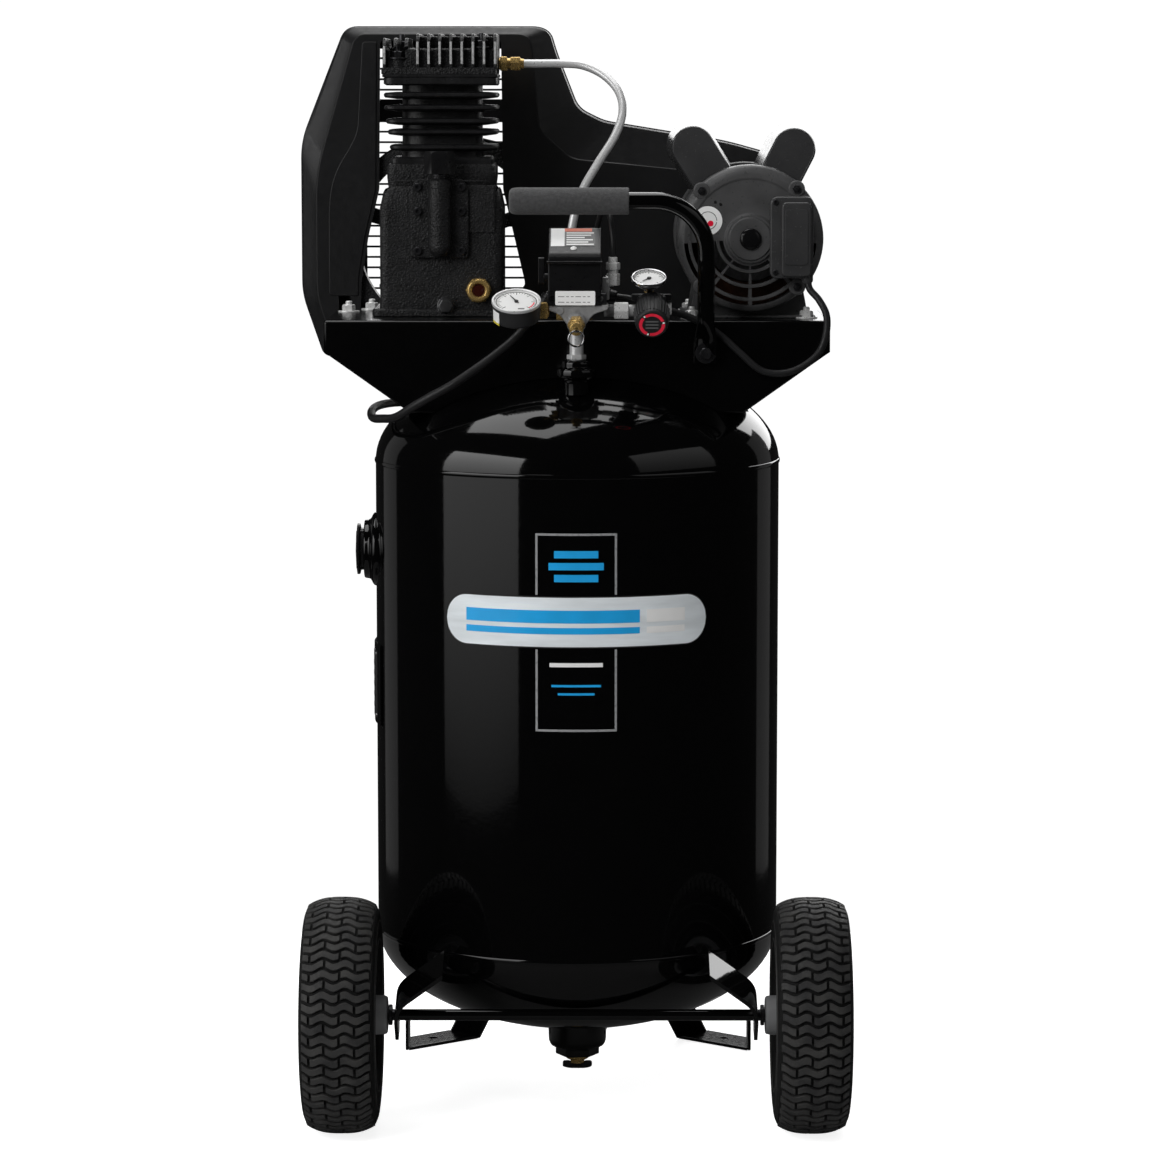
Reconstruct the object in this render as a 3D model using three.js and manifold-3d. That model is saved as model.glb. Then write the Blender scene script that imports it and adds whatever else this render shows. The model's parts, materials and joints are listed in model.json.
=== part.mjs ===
// Vertical tank air compressor: tank on two wheels and two feet, belt-driven pump and motor on a deck.
// Millimetres. +Z is up, +X is the side of the motor, and the controls face -Y.
// Every coordinate below is measured from the tank's axis at floor level. The exported group is then
// moved by FOOTPRINT_CENTRE, so the part's origin is the middle of its footprint.
import * as THREE from "three";
import { mergeVertices } from "three/addons/utils/BufferGeometryUtils.js";
import Module from "manifold-3d";

const wasm = await Module();
wasm.setup();

// ---------------------------------------------------------------- driving dimensions

const FOOTPRINT_CENTRE = { x: -12, y: -34 };
const GAP = 0.3; // between pieces that rest on each other

const TANK = { radius: 228.6, wall: 3, lowSeam: 193, highSeam: 728, headDepth: 114.3 };
const TANK_SIDES = 32;
const SIDE_PORT = { z: 625, bore: 24, boss: 33, cone: 42, face: -242 };
const OUTLET = { x: 0, y: -150, bore: 8.9 };
const CHECK_PORT = { x: -8, y: -60, bore: 9 };
const DRAIN = { bossBottom: 48, hexBottom: 38, stemBottom: 24, leverZ: 26 };

const DECK = { halfWidth: 280, front: -113, rear: 120, top: 891, sheet: 3, sideBottom: 856, panelBottom: 788 };
const PANEL_HALF_BOTTOM = 184;

const WHEEL = { x: 258.5, y: -203, radius: 130, width: 82, rimRadius: 66, hubInner: 208, hubOuter: 292 };
const WHEEL_SIDES = 24;
const AXLE_RADIUS = 6.35;

const PUMP = { x: -152, crankZ: 970, cylinderY: 25, front: -40, rear: 90 };
const CRANK_THROW = 25;
const PISTON = { radius: 34.7, length: 40, topZ: 1154, pinZ: 1132 };
const BORE_RADIUS = 35;
const FIN_LEVELS = [1138, 1124, 1109, 1097, 1080];
const HEAD = { left: -218, right: -90, bottom: 1162.3, block: 1190, top: 1206, front: -38, rear: 88, fins: 11 };

const BELT = { y: 172, width: 10, thickness: 8, wheelRadius: 116, pulleyRadius: 28 };
const FLYWHEEL_RIM = 122;

const MOTOR = { x: 192, z: 980, shell: 78, bell: 81.5, front: -95, rear: 138 };
const CAPACITORS = {
  left: { lean: -32, distance: 118, radius: 24 },
  right: { lean: 27, distance: 110, radius: 24 },
};
const CAPACITOR_SPAN = [-52, 84];

const GUARD = { front: 150, split: 192, rear: 235, wall: 2.5 };
const GRILLE = { left: -250, right: -58, bottom: 899, pitch: 12.3, gap: 9.9, count: 24, barLow: 1112, barHigh: 1132 };

const HANDLE = { tube: 9.5, grip: 14.7, x: 142, z: 1024, bend: 57, topY: -177, footY: -126, footZ: 862 };
const GAUGE_LEAN = 25; // degrees that a gauge face leans from level towards the user
const TANK_GAUGE = { x: -65, y: -190, z: 918, radius: 27, depth: 23 };
const REGULATOR_GAUGE = { x: 79, y: -168, z: 942, radius: 19.5, depth: 11 };
const KNOB = { x: 82, y: -200, z: 891, radius: 19.5, length: 31, dip: 28 };

const CORD_RADIUS = 5;
const COIL = { x: 0, y: 345, inner: 45, outer: 65, height: 20 };

// ---------------------------------------------------------------- solids

const rad = THREE.MathUtils.degToRad;
const vec = (p) => new THREE.Vector3(p[0], p[1], p[2]);

// A closed three.js geometry as a manifold-3d solid with its faces outward.
function solidFrom(geometry) {
  const bare = geometry.index ? geometry.toNonIndexed() : geometry.clone();
  bare.deleteAttribute("normal");
  bare.deleteAttribute("uv");
  const merged = mergeVertices(bare, 1e-4);
  const corners = new Uint32Array(merged.index.array);
  const build = () =>
    new wasm.Manifold(
      new wasm.Mesh({ numProp: 3, vertProperties: merged.attributes.position.array, triVerts: corners }),
    );
  const made = build();
  if (made.volume() >= 0) return made;
  for (let i = 0; i < corners.length; i += 3) {
    [corners[i + 1], corners[i + 2]] = [corners[i + 2], corners[i + 1]];
  }
  return build();
}

function geometryOf(solid) {
  const mesh = solid.getMesh();
  const geometry = new THREE.BufferGeometry();
  geometry.setAttribute("position", new THREE.BufferAttribute(new Float32Array(mesh.vertProperties), 3));
  geometry.setIndex(new THREE.BufferAttribute(new Uint32Array(mesh.triVerts), 1));
  return geometry;
}

const join = (...solids) => solids.reduce((whole, next) => whole.add(next));
const cut = (solid, ...tools) => tools.reduce((left, tool) => left.subtract(tool), solid);

function box(x, y, z) {
  const geometry = new THREE.BoxGeometry(x[1] - x[0], y[1] - y[0], z[1] - z[0]);
  geometry.translate((x[0] + x[1]) / 2, (y[0] + y[1]) / 2, (z[0] + z[1]) / 2);
  return solidFrom(geometry);
}

// Turns a geometry built along +Y so that it runs along a direction from a point.
function aim(geometry, at, direction) {
  const up = new THREE.Vector3(0, 1, 0);
  const turn = new THREE.Quaternion().setFromUnitVectors(up, vec(direction).normalize());
  geometry.applyQuaternion(turn);
  geometry.translate(at[0], at[1], at[2]);
  return solidFrom(geometry);
}

// A cylinder or cone from one point to another.
function rod(from, to, radius, sides = 16, endRadius = radius) {
  const span = vec(to).sub(vec(from));
  const geometry = new THREE.CylinderGeometry(endRadius, radius, span.length(), sides);
  geometry.translate(0, span.length() / 2, 0);
  return aim(geometry, from, span.toArray());
}

// A turned body: profile points are [radius, height] along the axis, on the axis at both ends or closed.
function turned(profile, at, direction, segments = 24) {
  const points = profile.map(([radius, height]) => new THREE.Vector2(radius, height));
  const closed = profile[0][0] > 0 || profile[profile.length - 1][0] > 0;
  if (closed) points.push(points[0].clone());
  return aim(new THREE.LatheGeometry(points, segments), at, direction);
}

const ring = (inner, outer, low, high, at, direction, segments) =>
  turned([[inner, low], [outer, low], [outer, high], [inner, high]], at, direction, segments);

// An outline with its corners rounded. Points are [u, v] or [u, v, radius].
function outline(points, radius = 0) {
  const shape = new THREE.Shape();
  points.forEach((point, i) => {
    const here = new THREE.Vector2(point[0], point[1]);
    const before = new THREE.Vector2(...points.at(i - 1).slice(0, 2));
    const after = new THREE.Vector2(...points[(i + 1) % points.length].slice(0, 2));
    const reach = point[2] ?? radius;
    const start = here.clone().add(before.sub(here).setLength(reach || 1e-9));
    const end = here.clone().add(after.sub(here).setLength(reach || 1e-9));
    if (i === 0) shape.moveTo(start.x, start.y);
    else shape.lineTo(start.x, start.y);
    if (reach) shape.quadraticCurveTo(here.x, here.y, end.x, end.y);
  });
  shape.closePath();
  return shape;
}

const PLANES = {
  xz: ([, high]) => new THREE.Matrix4().makeRotationX(Math.PI / 2).setPosition(0, high, 0),
  yz: ([low]) =>
    new THREE.Matrix4()
      .makeBasis(new THREE.Vector3(0, 1, 0), new THREE.Vector3(0, 0, 1), new THREE.Vector3(1, 0, 0))
      .setPosition(low, 0, 0),
  xy: ([low]) => new THREE.Matrix4().makeTranslation(0, 0, low),
};

// An outline in a plane, extruded along the third axis between two values.
function slab(plane, shape, range, curveSegments = 4) {
  const geometry = new THREE.ExtrudeGeometry(shape, {
    depth: range[1] - range[0],
    bevelEnabled: false,
    curveSegments,
  });
  geometry.applyMatrix4(PLANES[plane](range));
  return solidFrom(geometry);
}

// A round tube or solid cord along a smooth curve through the points.
function pipe(points, radius, sides = 10, steps = points.length * 3) {
  const path = new THREE.CatmullRomCurve3(points.map(vec));
  const section = new THREE.Shape();
  for (let i = 0; i < sides; i++) {
    const angle = (2 * Math.PI * i) / sides;
    section[i ? "lineTo" : "moveTo"](radius * Math.cos(angle), radius * Math.sin(angle));
  }
  section.closePath();
  return solidFrom(new THREE.ExtrudeGeometry(section, { steps, extrudePath: path, bevelEnabled: false }));
}

// Points of a circular bend in a plane, from one angle to another, in degrees.
function arcPoints(centre, radius, from, to, count, place) {
  return Array.from({ length: count }, (_, i) => {
    const angle = rad(from + ((to - from) * i) / (count - 1));
    return place(centre[0] + radius * Math.cos(angle), centre[1] + radius * Math.sin(angle));
  });
}

// A point at a distance from another, in a direction.
const along = (from, direction, distance) => from.map((value, i) => value + direction[i] * distance);

const hex = (from, to, acrossFlats) => rod(from, to, acrossFlats / Math.sqrt(3), 6);

function turnAbout(solid, point, axis, degrees) {
  const geometry = geometryOf(solid);
  geometry.translate(-point[0], -point[1], -point[2]);
  geometry.applyQuaternion(new THREE.Quaternion().setFromAxisAngle(vec(axis), rad(degrees)));
  geometry.translate(point[0], point[1], point[2]);
  return solidFrom(geometry);
}

const mirrorX = (solid) => {
  const geometry = geometryOf(solid);
  geometry.scale(-1, 1, 1);
  return solidFrom(geometry);
};

// ---------------------------------------------------------------- assembly

const compressor = new THREE.Group();
compressor.name = "vertical_tank_compressor";

const finish = (color, roughness, metalness) => ({ color, roughness, metalness });
const FINISHES = {
  glossBlack: finish(0x0b0b0c, 0.12, 0.2),
  castIron: finish(0x17181a, 0.65, 0.3),
  blackPlastic: finish(0x1d1e20, 0.5, 0),
  rubber: finish(0x202123, 0.85, 0),
  foam: finish(0x2a2b2d, 0.95, 0),
  steel: finish(0xb9bcc0, 0.35, 1),
  darkSteel: finish(0x3a3c40, 0.4, 0.9),
  aluminium: finish(0xc4c7ca, 0.4, 1),
  brass: finish(0xc9a24a, 0.3, 1),
  greyPlastic: finish(0x8d9093, 0.6, 0),
  copper: finish(0xa35a35, 0.45, 0.8),
};

function add(name, solid, look) {
  const mesh = new THREE.Mesh(geometryOf(solid), new THREE.MeshStandardMaterial(FINISHES[look]));
  mesh.name = name;
  compressor.add(mesh);
}

// ---------------------------------------------------------------- tank

// Half profile of a 2:1 ellipsoidal head, from its seam to its pole, inset from the outer skin.
function domeCurve(inset, steps = 5) {
  return Array.from({ length: steps + 1 }, (_, i) => {
    const angle = (Math.PI / 2) * (i / steps);
    const radius = i === steps ? 0 : (TANK.radius - inset) * Math.cos(angle);
    return [radius, (TANK.headDepth - inset) * Math.sin(angle)];
  });
}

function head(seam, up) {
  const profile = [...domeCurve(0), ...domeCurve(TANK.wall).reverse()];
  return turned(profile, [0, 0, seam], [0, 0, up], TANK_SIDES);
}

// The tank's outer skin, grown a little, used to trim what is welded or laid on it.
function tankEnvelope(grow) {
  const upper = domeCurve(-grow).map(([radius, height]) => [radius, TANK.highSeam + GAP + height]);
  const lower = domeCurve(-grow).map(([radius, height]) => [radius, TANK.lowSeam - GAP - height]);
  return turned([...lower.reverse(), ...upper], [0, 0, 0], [0, 0, 1], TANK_SIDES);
}

function buildTank() {
  const { radius, wall, lowSeam, highSeam } = TANK;
  const left = [-1, 0, 0];
  const portBoss = turned(
    [[SIDE_PORT.bore, 222], [SIDE_PORT.cone, 222], [SIDE_PORT.cone, 230], [SIDE_PORT.boss, 235],
      [SIDE_PORT.boss, -SIDE_PORT.face], [SIDE_PORT.bore, -SIDE_PORT.face]],
    [0, 0, SIDE_PORT.z], left, 24);
  const portHole = rod([-210, 0, SIDE_PORT.z], [-260, 0, SIDE_PORT.z], SIDE_PORT.bore, 24);
  const inside = rod([0, 0, lowSeam], [0, 0, highSeam], radius - wall, TANK_SIDES);
  const shell = ring(radius - wall, radius, lowSeam, highSeam, [0, 0, 0], [0, 0, 1], TANK_SIDES);
  add("tank_shell", join(cut(shell, portHole), cut(portBoss, inside)), "glossBlack");

  const outletBoss = turned(
    [[0, 790], [21.8, 790], [21.8, 841], [16.5, 841], [16.5, 850], [0, 850]],
    [OUTLET.x, OUTLET.y, 0], [0, 0, 1], 24);
  const checkBoss = rod([CHECK_PORT.x, CHECK_PORT.y, 828], [CHECK_PORT.x, CHECK_PORT.y, 850], 16);
  const outletHole = rod([OUTLET.x, OUTLET.y, 780], [OUTLET.x, OUTLET.y, 860], OUTLET.bore);
  const checkHole = rod([CHECK_PORT.x, CHECK_PORT.y, 800], [CHECK_PORT.x, CHECK_PORT.y, 860], CHECK_PORT.bore);
  const topInside = turned([[0, 0], ...domeCurve(wall)], [0, 0, highSeam + GAP], [0, 0, 1], TANK_SIDES);
  const bosses = cut(join(outletBoss, checkBoss), topInside);
  add("tank_top_head", cut(join(head(highSeam + GAP, 1), bosses), outletHole, checkHole), "glossBlack");

  const drainBoss = rod([0, 0, DRAIN.bossBottom], [0, 0, 90], 33, 24);
  const drainHole = rod([0, 0, 30], [0, 0, 100], 10);
  const lowInside = turned([[0, 0], ...domeCurve(wall)], [0, 0, lowSeam - GAP], [0, 0, -1], TANK_SIDES);
  const bottom = join(head(lowSeam - GAP, -1), cut(drainBoss, lowInside));
  add("tank_bottom_head", cut(bottom, drainHole), "glossBlack");

  const plug = join(
    hex([SIDE_PORT.face - GAP, 0, SIDE_PORT.z], [-251, 0, SIDE_PORT.z], 46),
    rod([-226, 0, SIDE_PORT.z], [-243, 0, SIDE_PORT.z], SIDE_PORT.bore - GAP, 24));
  add("side_port_plug", plug, "castIron");

  const drainHex = cut(
    join(
      hex([0, 0, DRAIN.hexBottom], [0, 0, DRAIN.bossBottom - GAP], 46),
      rod([0, 0, DRAIN.bossBottom - 1], [0, 0, 76], 9.6),
      rod([0, 0, DRAIN.leverZ + 5], [0, 0, DRAIN.hexBottom + 1], 8)),
    rod([0, 0, 20], [0, 0, 80], 4, 12));
  add("drain_cock_body", drainHex, "brass");
  const lever = join(
    box([-16, 16], [-2, 2], [DRAIN.leverZ - 4, DRAIN.leverZ + 3]),
    rod([0, 0, DRAIN.stemBottom - 2], [0, 0, DRAIN.leverZ + 4.7], 6, 16),
    rod([0, 0, DRAIN.leverZ], [0, 0, 50], 3.6, 12));
  add("drain_cock_handle", lever, "darkSteel");
}

// ---------------------------------------------------------------- deck, feet and wheels

function buildDeck() {
  const { halfWidth, front, rear, top, sheet, sideBottom, panelBottom } = DECK;
  const under = top - sheet;
  const panel = outline([
    [-halfWidth, under + 1], [-halfWidth, sideBottom], [-PANEL_HALF_BOTTOM, panelBottom],
    [PANEL_HALF_BOTTOM, panelBottom], [halfWidth, sideBottom], [halfWidth, under + 1]]);
  const deck = join(
    box([-halfWidth, halfWidth], [front, rear], [under, top]),
    slab("xz", panel, [front, front + sheet]),
    slab("xz", panel, [rear - sheet, rear]),
    box([-halfWidth, -halfWidth + sheet], [front, rear], [sideBottom, under + 1]),
    box([halfWidth - sheet, halfWidth], [front, rear], [sideBottom, under + 1]));
  const valveHole = rod([CHECK_PORT.x, CHECK_PORT.y, 880], [CHECK_PORT.x, CHECK_PORT.y, 900], 24);
  add("mounting_deck", cut(deck, tankEnvelope(GAP), valveHole), "glossBlack");
}

function buildFeet() {
  const sole = outline([[-203, 173], [-121, 237], [-158, 265], [-207, 227]]);
  const lip = box([-207, -203.5], [174, 226], [0, 38]);
  const sheet = 4;
  const hole = rod([-176, 224, -5], [-176, 224, 10], 5.5, 16);
  const legFoot = [[-121, 237], [-158, 265]];
  const legTop = [[-66, 130], [-103, 158]];
  const leg = slopedPlate(legFoot, 0, legTop, 130, sheet);
  const foot = join(cut(slab("xy", sole, [0, sheet]), hole), lip, cut(leg, tankEnvelope(GAP)));
  add("foot_left", foot, "glossBlack");
  add("foot_right", mirrorX(foot), "glossBlack");
}

// A flat strap between a low edge and a high edge, each given by two plan points.
function slopedPlate(low, lowZ, high, highZ, thickness) {
  const direction = new THREE.Vector2(high[0][0] - low[0][0], high[0][1] - low[0][1]).setLength(thickness);
  const corner = (p, z, shift) => [p[0] + direction.x * shift, p[1] + direction.y * shift, z];
  const corners = [
    corner(low[0], lowZ, 0), corner(low[1], lowZ, 0), corner(low[1], lowZ, 1), corner(low[0], lowZ, 1),
    corner(high[0], highZ, 0), corner(high[1], highZ, 0), corner(high[1], highZ, 1), corner(high[0], highZ, 1)];
  const quads = [[0, 3, 2, 1], [4, 5, 6, 7], [0, 1, 5, 4], [1, 2, 6, 5], [2, 3, 7, 6], [3, 0, 4, 7]];
  const geometry = new THREE.BufferGeometry();
  geometry.setAttribute("position", new THREE.BufferAttribute(new Float32Array(corners.flat()), 3));
  geometry.setIndex(quads.flatMap(([a, b, c, d]) => [a, b, c, a, c, d]));
  return solidFrom(geometry);
}

function buildRunningGear() {
  const { x, y, radius, width, rimRadius, hubInner, hubOuter } = WHEEL;
  const strap = outline([
    [-200, 104], [-196, 104], [-196, 150], [-146, 190], [-146, 195.5], [-200, 152.5]]);
  const upright = slab("xz", strap, [y - 28, y + 28]);
  const tilted = turnAbout(upright, [0, y, radius], [1, 0, 0], 17);
  const axleHole = rod([-230, y, radius], [-170, y, radius], AXLE_RADIUS + GAP, 12);
  const bracket = cut(tilted, tankEnvelope(GAP), axleHole);
  add("axle_bracket_left", bracket, "glossBlack");
  add("axle_bracket_right", mirrorX(bracket), "glossBlack");

  const end = hubOuter + 6.5;
  const axle = join(
    rod([-end, y, radius], [end, y, radius], AXLE_RADIUS, 12),
    ...[-1, 1].map((side) =>
      rod([side * (hubOuter + 0.5), y, radius], [side * (hubOuter + 3), y, radius], 11, 12)));
  add("axle", axle, "darkSteel");

  const middle = width / 2;
  const spokeHoles = (low, high) =>
    Array.from({ length: 5 }, (_, i) => {
      const angle = (2 * Math.PI * i) / 5;
      const dy = 40 * Math.cos(angle);
      const dz = 40 * Math.sin(angle);
      return rod([low, y + dy, radius + dz], [high, y + dy, radius + dz], 11, 6);
    });
  for (const side of [-1, 1]) {
    const word = side < 0 ? "left" : "right";
    const at = [side * x, y, radius];
    const outward = [side, 0, 0];
    const bore = AXLE_RADIUS + GAP;
    const rim = turned([
      [bore, hubInner - x], [21, hubInner - x], [22, -7], [56, -6], [56, -33], [rimRadius, -33],
      [rimRadius - 5, 0], [rimRadius, 33], [56, 33], [56, 4], [22, 7], [20, hubOuter - x],
      [bore, hubOuter - x]], at, outward, WHEEL_SIDES);
    const holes = spokeHoles(side < 0 ? -x - 20 : x - 20, side < 0 ? -x + 20 : x + 20);
    add(`wheel_rim_${word}`, cut(rim, ...holes), "greyPlastic");
    const seat = rimRadius + GAP;
    const tyre = turned([
      [seat, -32], [seat + 30, -middle], [radius - 14, -middle + 3], [radius - 4, -middle + 13], [radius, -16],
      [radius, 16], [radius - 4, middle - 13], [radius - 14, middle - 3], [seat + 30, middle], [seat, 32],
      [radius - 14, 28], [radius - 14, -28]], at, outward, WHEEL_SIDES);
    add(`tyre_${word}`, tyre, "rubber");
  }
}

// ---------------------------------------------------------------- handle

function buildHandle() {
  const { tube, grip, x, z, bend, topY, footY, footZ } = HANDLE;
  const slope = (topY - footY) / (z - footZ);
  const place = (px, pz) => [px, footY + slope * (pz - footZ), pz];
  const path = [
    [-65, topY, z], [-30, topY, z], [10, topY, z], [50, topY, z],
    ...arcPoints([x - bend, z - bend], bend, 90, 0, 7, place),
    place(x, 930), place(x, 895), place(x, footZ)];
  const foot = box([x - 14, x + 14], [footY + 3, DECK.front - GAP], [footZ - 20, footZ + 8]);
  const bolt = rod([x, footY - 6, footZ - 4], [x, footY + 6, footZ - 4], 8, 6);
  add("handle_tube", join(pipe(path, tube, 10, 18), foot, bolt), "glossBlack");
  const sleeve = turned([
    [0, 0], [grip - 6, 0], [grip, 6], [grip, 130], [tube + GAP, 130], [tube + GAP, 7], [0, 7]],
    [-73, topY, z], [1, 0, 0], 20);
  add("handle_grip", sleeve, "foam");
}

// ---------------------------------------------------------------- pump

function buildCrankcase() {
  const { x, crankZ, cylinderY, front, rear } = PUMP;
  const body = slab("xz", outline([[-221, 898], [-83, 898], [-83, 1047], [-221, 1047]], 12), [front, rear]);
  const flange = box([-230, -74], [front - 4, rear + 4], [DECK.top + GAP, 900]);
  const neck = box([x - 50, x + 50], [cylinderY - 50, cylinderY + 50], [1040, 1059]);
  const rearBoss = rod([x, rear - 1, crankZ], [x, 140, crankZ], 30, 24, 26);
  const cavity = box([-212, -92], [front + 8, rear - 8], [908, 1039]);
  const window = box([x - 26, x + 26], [front - 1, front + 9], [962, 1036]);
  const mouth = rod([x, cylinderY, 1035], [x, cylinderY, 1062], BORE_RADIUS + 2, 28);
  const bearing = rod([x, rear - 10, crankZ], [x, 145, crankZ], 13, 20);
  const drainPlug = hex([-147, front + 1, 906], [-147, front - 12, 906], 15);
  const casing = join(body, flange, neck, rearBoss, drainPlug);
  add("crankcase", cut(casing, cavity, window, mouth, bearing), "castIron");

  const coverFront = front - 5;
  const plate = slab("xz", outline([[-186, 955], [-121, 955], [-121, 1046], [-186, 1046]], 5),
    [coverFront, front - GAP]);
  const tubeY = coverFront - 10;
  const breather = join(
    rod([x - 1, tubeY, 964], [x - 1, tubeY, 1052], 13, 20),
    rod([x - 1, tubeY, 957], [x - 1, tubeY, 964.5], 8, 20, 13),
    hex([x - 1, tubeY, 1051], [x - 1, tubeY, 1076], 29.5));
  const screws = [-177, -129].flatMap((sx) =>
    [965, 1012, 1036].map((sz) => rod([sx, coverFront + 1, sz], [sx, coverFront - 4, sz], 4.5, 6)));
  add("crankcase_cover", join(plate, breather, ...screws), "castIron");

  const glass = cut(
    hex([-109, front - GAP, 923], [-109, front - 12, 923], 25),
    rod([-109, front - 6, 923], [-109, front - 14, 923], 8, 16));
  add("sight_glass", glass, "brass");
}

function buildCylinder() {
  const { x, cylinderY } = PUMP;
  const column = (half, low, high) => {
    const corners = [[x - half, cylinderY - half], [x + half, cylinderY - half],
      [x + half, cylinderY + half], [x - half, cylinderY + half]];
    return slab("xy", outline(corners, 14), [low, high], 1);
  };
  const fins = FIN_LEVELS.map((level, i) => column(63.5 - 1.8 * i, level - 1.75, level + 1.75));
  const barrel = join(
    rod([x, cylinderY, 1059 + GAP], [x, cylinderY, 1150], 47.5, 20),
    column(50, 1059 + GAP, 1066),
    column(64, 1149, 1156), ...fins);
  add("cylinder", cut(barrel, rod([x, cylinderY, 1050], [x, cylinderY, 1160], BORE_RADIUS, 24)), "castIron");

  const valvePlate = box([x - 64, x + 64], [cylinderY - 62, cylinderY + 62], [1156 + GAP, 1162]);
  const ports = [-16, 16].map((dx) => rod([x + dx, cylinderY, 1150], [x + dx, cylinderY, 1170], 7, 12));
  add("valve_plate", cut(valvePlate, ...ports), "darkSteel");

  const { left, right, bottom, block, top, front, rear, fins: finCount } = HEAD;
  const finPitch = (right - left - 3) / (finCount - 1);
  const headFins = Array.from({ length: finCount }, (_, i) => {
    const low = left + finPitch * i;
    return box([low, low + 3], [front, rear], [bottom, top]);
  });
  const headBlock = join(
    box([left, right], [front, rear], [bottom, bottom + 6]),
    box([left + 6, right - 6], [front + 10, rear - 10], [bottom, block]),
    ...headFins);
  const chambers = [-16, 16].map((dx) => rod([x + dx, cylinderY, 1150], [x + dx, cylinderY, 1176], 10, 12));
  const outletBore = rod([x + 16, cylinderY, 1173], [right + 5, cylinderY, 1173], 5, 12);
  const inletBore = rod([x - 16, cylinderY, 1173], [x - 16, rear + 5, 1173], 8, 12);
  add("cylinder_head", cut(headBlock, ...chambers, outletBore, inletBore), "castIron");

  const filterX = x - 16;
  const filter = cut(
    join(
      rod([filterX, rear + GAP, 1173], [filterX, rear + 12, 1173], 11, 16),
      rod([filterX, rear + 11, 1173], [filterX, rear + 48, 1173], 27, 24)),
    rod([filterX, rear - 2, 1173], [filterX, rear + 40, 1173], 7, 12));
  add("intake_filter", filter, "blackPlastic");
}

function buildPumpMotion() {
  const { x, crankZ, cylinderY } = PUMP;
  const pinZ = crankZ + CRANK_THROW;
  const skirtZ = PISTON.topZ - PISTON.length;
  const crown = rod([x, cylinderY, skirtZ], [x, cylinderY, PISTON.topZ], PISTON.radius, 24);
  const hollow = rod([x, cylinderY, skirtZ - 1], [x, cylinderY, PISTON.topZ - 8], 29, 20);
  add("piston", cut(crown, hollow), "aluminium");

  const bigEnd = rod([x, cylinderY - 9, pinZ], [x, cylinderY + 9, pinZ], 19, 16);
  const smallEnd = rod([x, cylinderY - 8, PISTON.pinZ], [x, cylinderY + 8, PISTON.pinZ], 12, 12);
  const beam = box([x - 8, x + 8], [cylinderY - 5, cylinderY + 5], [pinZ + 12, PISTON.pinZ - 8]);
  const wristPin = rod([x, cylinderY - 26, PISTON.pinZ], [x, cylinderY + 26, PISTON.pinZ], 7, 12);
  const crankPin = rod([x, cylinderY - 10, pinZ], [x, cylinderY + 14.5, pinZ], 9, 12);
  add("connecting_rod", join(bigEnd, smallEnd, beam, wristPin, crankPin), "aluminium");

  const web = slab("xz", outline([
    [x - 20, crankZ + 38, 18], [x + 20, crankZ + 38, 18], [x + 24, crankZ, 4], [x + 40, crankZ - 38, 14],
    [x - 40, crankZ - 38, 14], [x - 24, crankZ, 4]]), [cylinderY + 15, cylinderY + 29]);
  const shaft = rod([x, cylinderY + 28, crankZ], [x, BELT.y + 20, crankZ], 12.7, 20);
  add("crankshaft", join(web, shaft), "darkSteel");

  const groove = BELT.wheelRadius - 1;
  const half = BELT.width / 2 + GAP;
  const rim = turned([
    [104, -13], [FLYWHEEL_RIM, -13], [FLYWHEEL_RIM, -half], [groove, -half], [groove, half],
    [FLYWHEEL_RIM, half], [FLYWHEEL_RIM, 13], [104, 13]], [x, BELT.y, crankZ], [0, 1, 0], 28);
  const hub = ring(13.6, 28, -16, 16, [x, BELT.y, crankZ], [0, 1, 0], 14);
  const spokes = Array.from({ length: 5 }, (_, i) => {
    const blade = box([x - 9, x + 9], [BELT.y - 6, BELT.y + 6], [crankZ + 24, crankZ + 107]);
    return turnAbout(blade, [x, BELT.y, crankZ], [0, 1, 0], 72 * i);
  });
  add("flywheel", join(rim, hub, ...spokes), "castIron");
}

// ---------------------------------------------------------------- motor and drive

function capacitorCover({ lean, distance, radius }) {
  const tip = arcPoints([0, distance], radius, 0, 180, 9, (u, v) => [u, v]);
  const lobe = slab("xz", outline([[-radius, 60], [radius, 60], ...tip]), CAPACITOR_SPAN);
  const ends = cut(lobe, rod([0, -60, 0], [0, 100, 0], MOTOR.bell + GAP, 40));
  const geometry = geometryOf(ends);
  geometry.rotateY(rad(lean));
  geometry.translate(MOTOR.x, 0, MOTOR.z);
  return solidFrom(geometry);
}

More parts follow.
